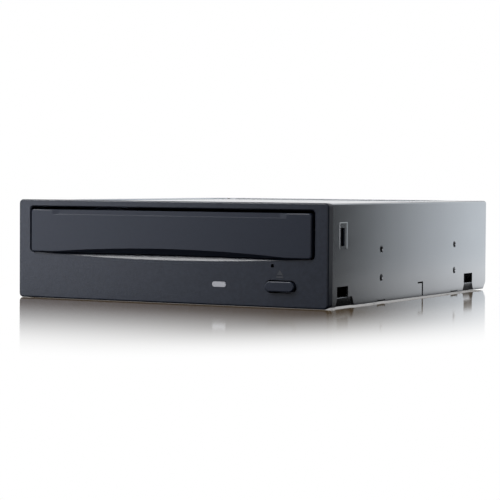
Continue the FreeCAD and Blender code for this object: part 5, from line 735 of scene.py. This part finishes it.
def card_material():
    s = new_material("studio_card")
    geometry = s.add("ShaderNodeNewGeometry").outputs
    grade = s.ramp(s.split(geometry["Position"])["Y"], *CARD_GRADE_Y, CARD_DARK, CARD_LIGHT,
                   "LINEAR")
    front = s.calc("SUBTRACT", 1.0, geometry["Backfacing"])
    share = s.calc("MULTIPLY", s.ramp(s.slant(), *CARD_LOUVRE), front)
    return s.finish(s.mix(share, s.out("ShaderNodeBsdfTransparent"),
                          s.out("ShaderNodeEmission", Color=CARD_TONE, Strength=grade)))


def staged_plane(name, width, height, matrix, material):
    mesh = bpy.data.meshes.new(name)
    corners = [(-width / 2, -height / 2, 0), (width / 2, -height / 2, 0),
               (width / 2, height / 2, 0), (-width / 2, height / 2, 0)]
    mesh.from_pydata(corners, [], [(0, 1, 2, 3)])
    plane = bpy.data.objects.new(name, mesh)
    bpy.context.scene.collection.objects.link(plane)
    plane.matrix_world = matrix
    mesh.materials.append(material)
    return plane


def aimed(where, toward, axis="Z"):
    """A placement at a point, with its own axis turned toward another point."""
    turn = (Vector(toward) - Vector(where)).to_track_quat(axis, "Y")
    return Matrix.Translation(where) @ turn.to_matrix().to_4x4()


staged_plane("floor", FLOOR_SIZE, FLOOR_SIZE,
             Matrix.Translation((0.0, 0.0, cad_box[0].z - FLOOR_DROP)), floor_material())

card_middle = Vector((CARD_X, sum(CARD_SPAN_Y) / 2.0, CARD_HEIGHT / 2.0))
card = staged_plane("studio_card", CARD_SPAN_Y[1] - CARD_SPAN_Y[0], CARD_HEIGHT,
                    aimed(card_middle, card_middle - X_AXIS), card_material())
card.visible_camera = False
card.visible_diffuse = False
card.visible_shadow = False

# World: white to the eye, and dim in front. Each row is a part of the direction, where the
# level starts and ends to change along it, and the level there.
ROOM_DEPTH = ("Y", -0.5, 0.5, 0.11, 1.0)
ROOM_WIDTH = ("X", 0.0, 0.7, 1.0, 0.25)
ROOM_HEIGHT = ("Z", 0.2, 0.9, 0.0, 0.5)
GLOSS_DEPTH = ("Y", -0.5, 0.1, 0.04, 1.0)
GLOSS_LOW = ("Z", 0.03, 0.07, 1.0, 0.0)
GLOSS_WIDTH = ("X", -0.2, 0.2, 0.0, 1.0)
GLOSS_HEIGHT = ("Z", 0.1, 0.45, 1.0, 0.4)


def make_world():
    s = Graph(bpy.data.worlds.new("studio"), "ShaderNodeOutputWorld")
    direction = s.split(s.add("ShaderNodeTexCoord").outputs["Generated"])
    path = s.add("ShaderNodeLightPath").outputs

    def level(axis, *change):
        return s.ramp(direction[axis], *change)

    def background(strength):
        return s.out("ShaderNodeBackground", Color=WHITE, Strength=strength)

    room = s.calc("ADD", s.calc("MULTIPLY", level(*ROOM_DEPTH), level(*ROOM_WIDTH)),
                  level(*ROOM_HEIGHT))
    gloss = s.calc("MAXIMUM", level(*GLOSS_DEPTH), level(*GLOSS_LOW))
    gloss = s.calc("MAXIMUM", gloss, level(*GLOSS_WIDTH))
    gloss = s.calc("MULTIPLY", gloss, level(*GLOSS_HEIGHT))
    lighting = s.mix(path["Is Glossy Ray"], background(room), background(gloss))
    straight = s.calc("MAXIMUM", path["Is Camera Ray"], path["Is Transmission Ray"])
    bpy.context.scene.world = s.finish(s.mix(straight, lighting, background(1.0)))


def softbox(name, where, toward, size, power, color=(1.0, 1.0, 1.0), mirrored=True):
    lamp = bpy.data.lights.new(name, "AREA")
    lamp.shape = "RECTANGLE"
    lamp.size, lamp.size_y = size
    lamp.energy = power
    lamp.color = color
    holder = bpy.data.objects.new(name, lamp)
    bpy.context.scene.collection.objects.link(holder)
    holder.matrix_world = aimed(where, toward, "-Z")
    holder.visible_camera = False
    holder.visible_glossy = mirrored


make_world()
# The key is lower than the top cover, which therefore mirrors none of it
softbox("key", where=(-0.44, -0.52, 0.021), toward=(-0.07, -0.08, 0.021), size=(0.26, 0.036),
        power=0.43, color=(0.84, 0.88, 1.0))
softbox("top", where=(0.0, 0.1, 0.9), toward=(0.0, 0.05, 0.0), size=(0.9, 0.9), power=4.0,
        mirrored=False)
softbox("front", where=(-0.235, -0.335, 0.38), toward=(0.0, -0.085, 0.01), size=(0.32, 0.12),
        power=2.2)


def make_camera():
    yaw, pitch, roll = CAMERA_YAW, CAMERA_PITCH, CAMERA_ROLL
    ahead = Vector((-math.sin(yaw) * math.cos(pitch), math.cos(yaw) * math.cos(pitch),
                    -math.sin(pitch)))
    level = Vector((math.cos(yaw), math.sin(yaw), 0.0))
    upward = level.cross(ahead)
    right = level * math.cos(roll) + upward * math.sin(roll)
    up = upward * math.cos(roll) - level * math.sin(roll)
    data = bpy.data.cameras.new("camera")
    data.sensor_width = SENSOR_MM
    data.lens = CAMERA_FOCAL_PIXELS * SENSOR_MM / IMAGE_PIXELS
    data.clip_start, data.clip_end = CAMERA_CLIP
    camera = bpy.data.objects.new("camera", data)
    bpy.context.scene.collection.objects.link(camera)
    turn = Matrix((right, up, -ahead)).transposed()
    camera.matrix_world = Matrix.Translation(place(*CAMERA_PLACE)) @ turn.to_4x4()
    bpy.context.scene.camera = camera


make_camera()
bpy.context.scene.view_settings.view_transform = "Standard"
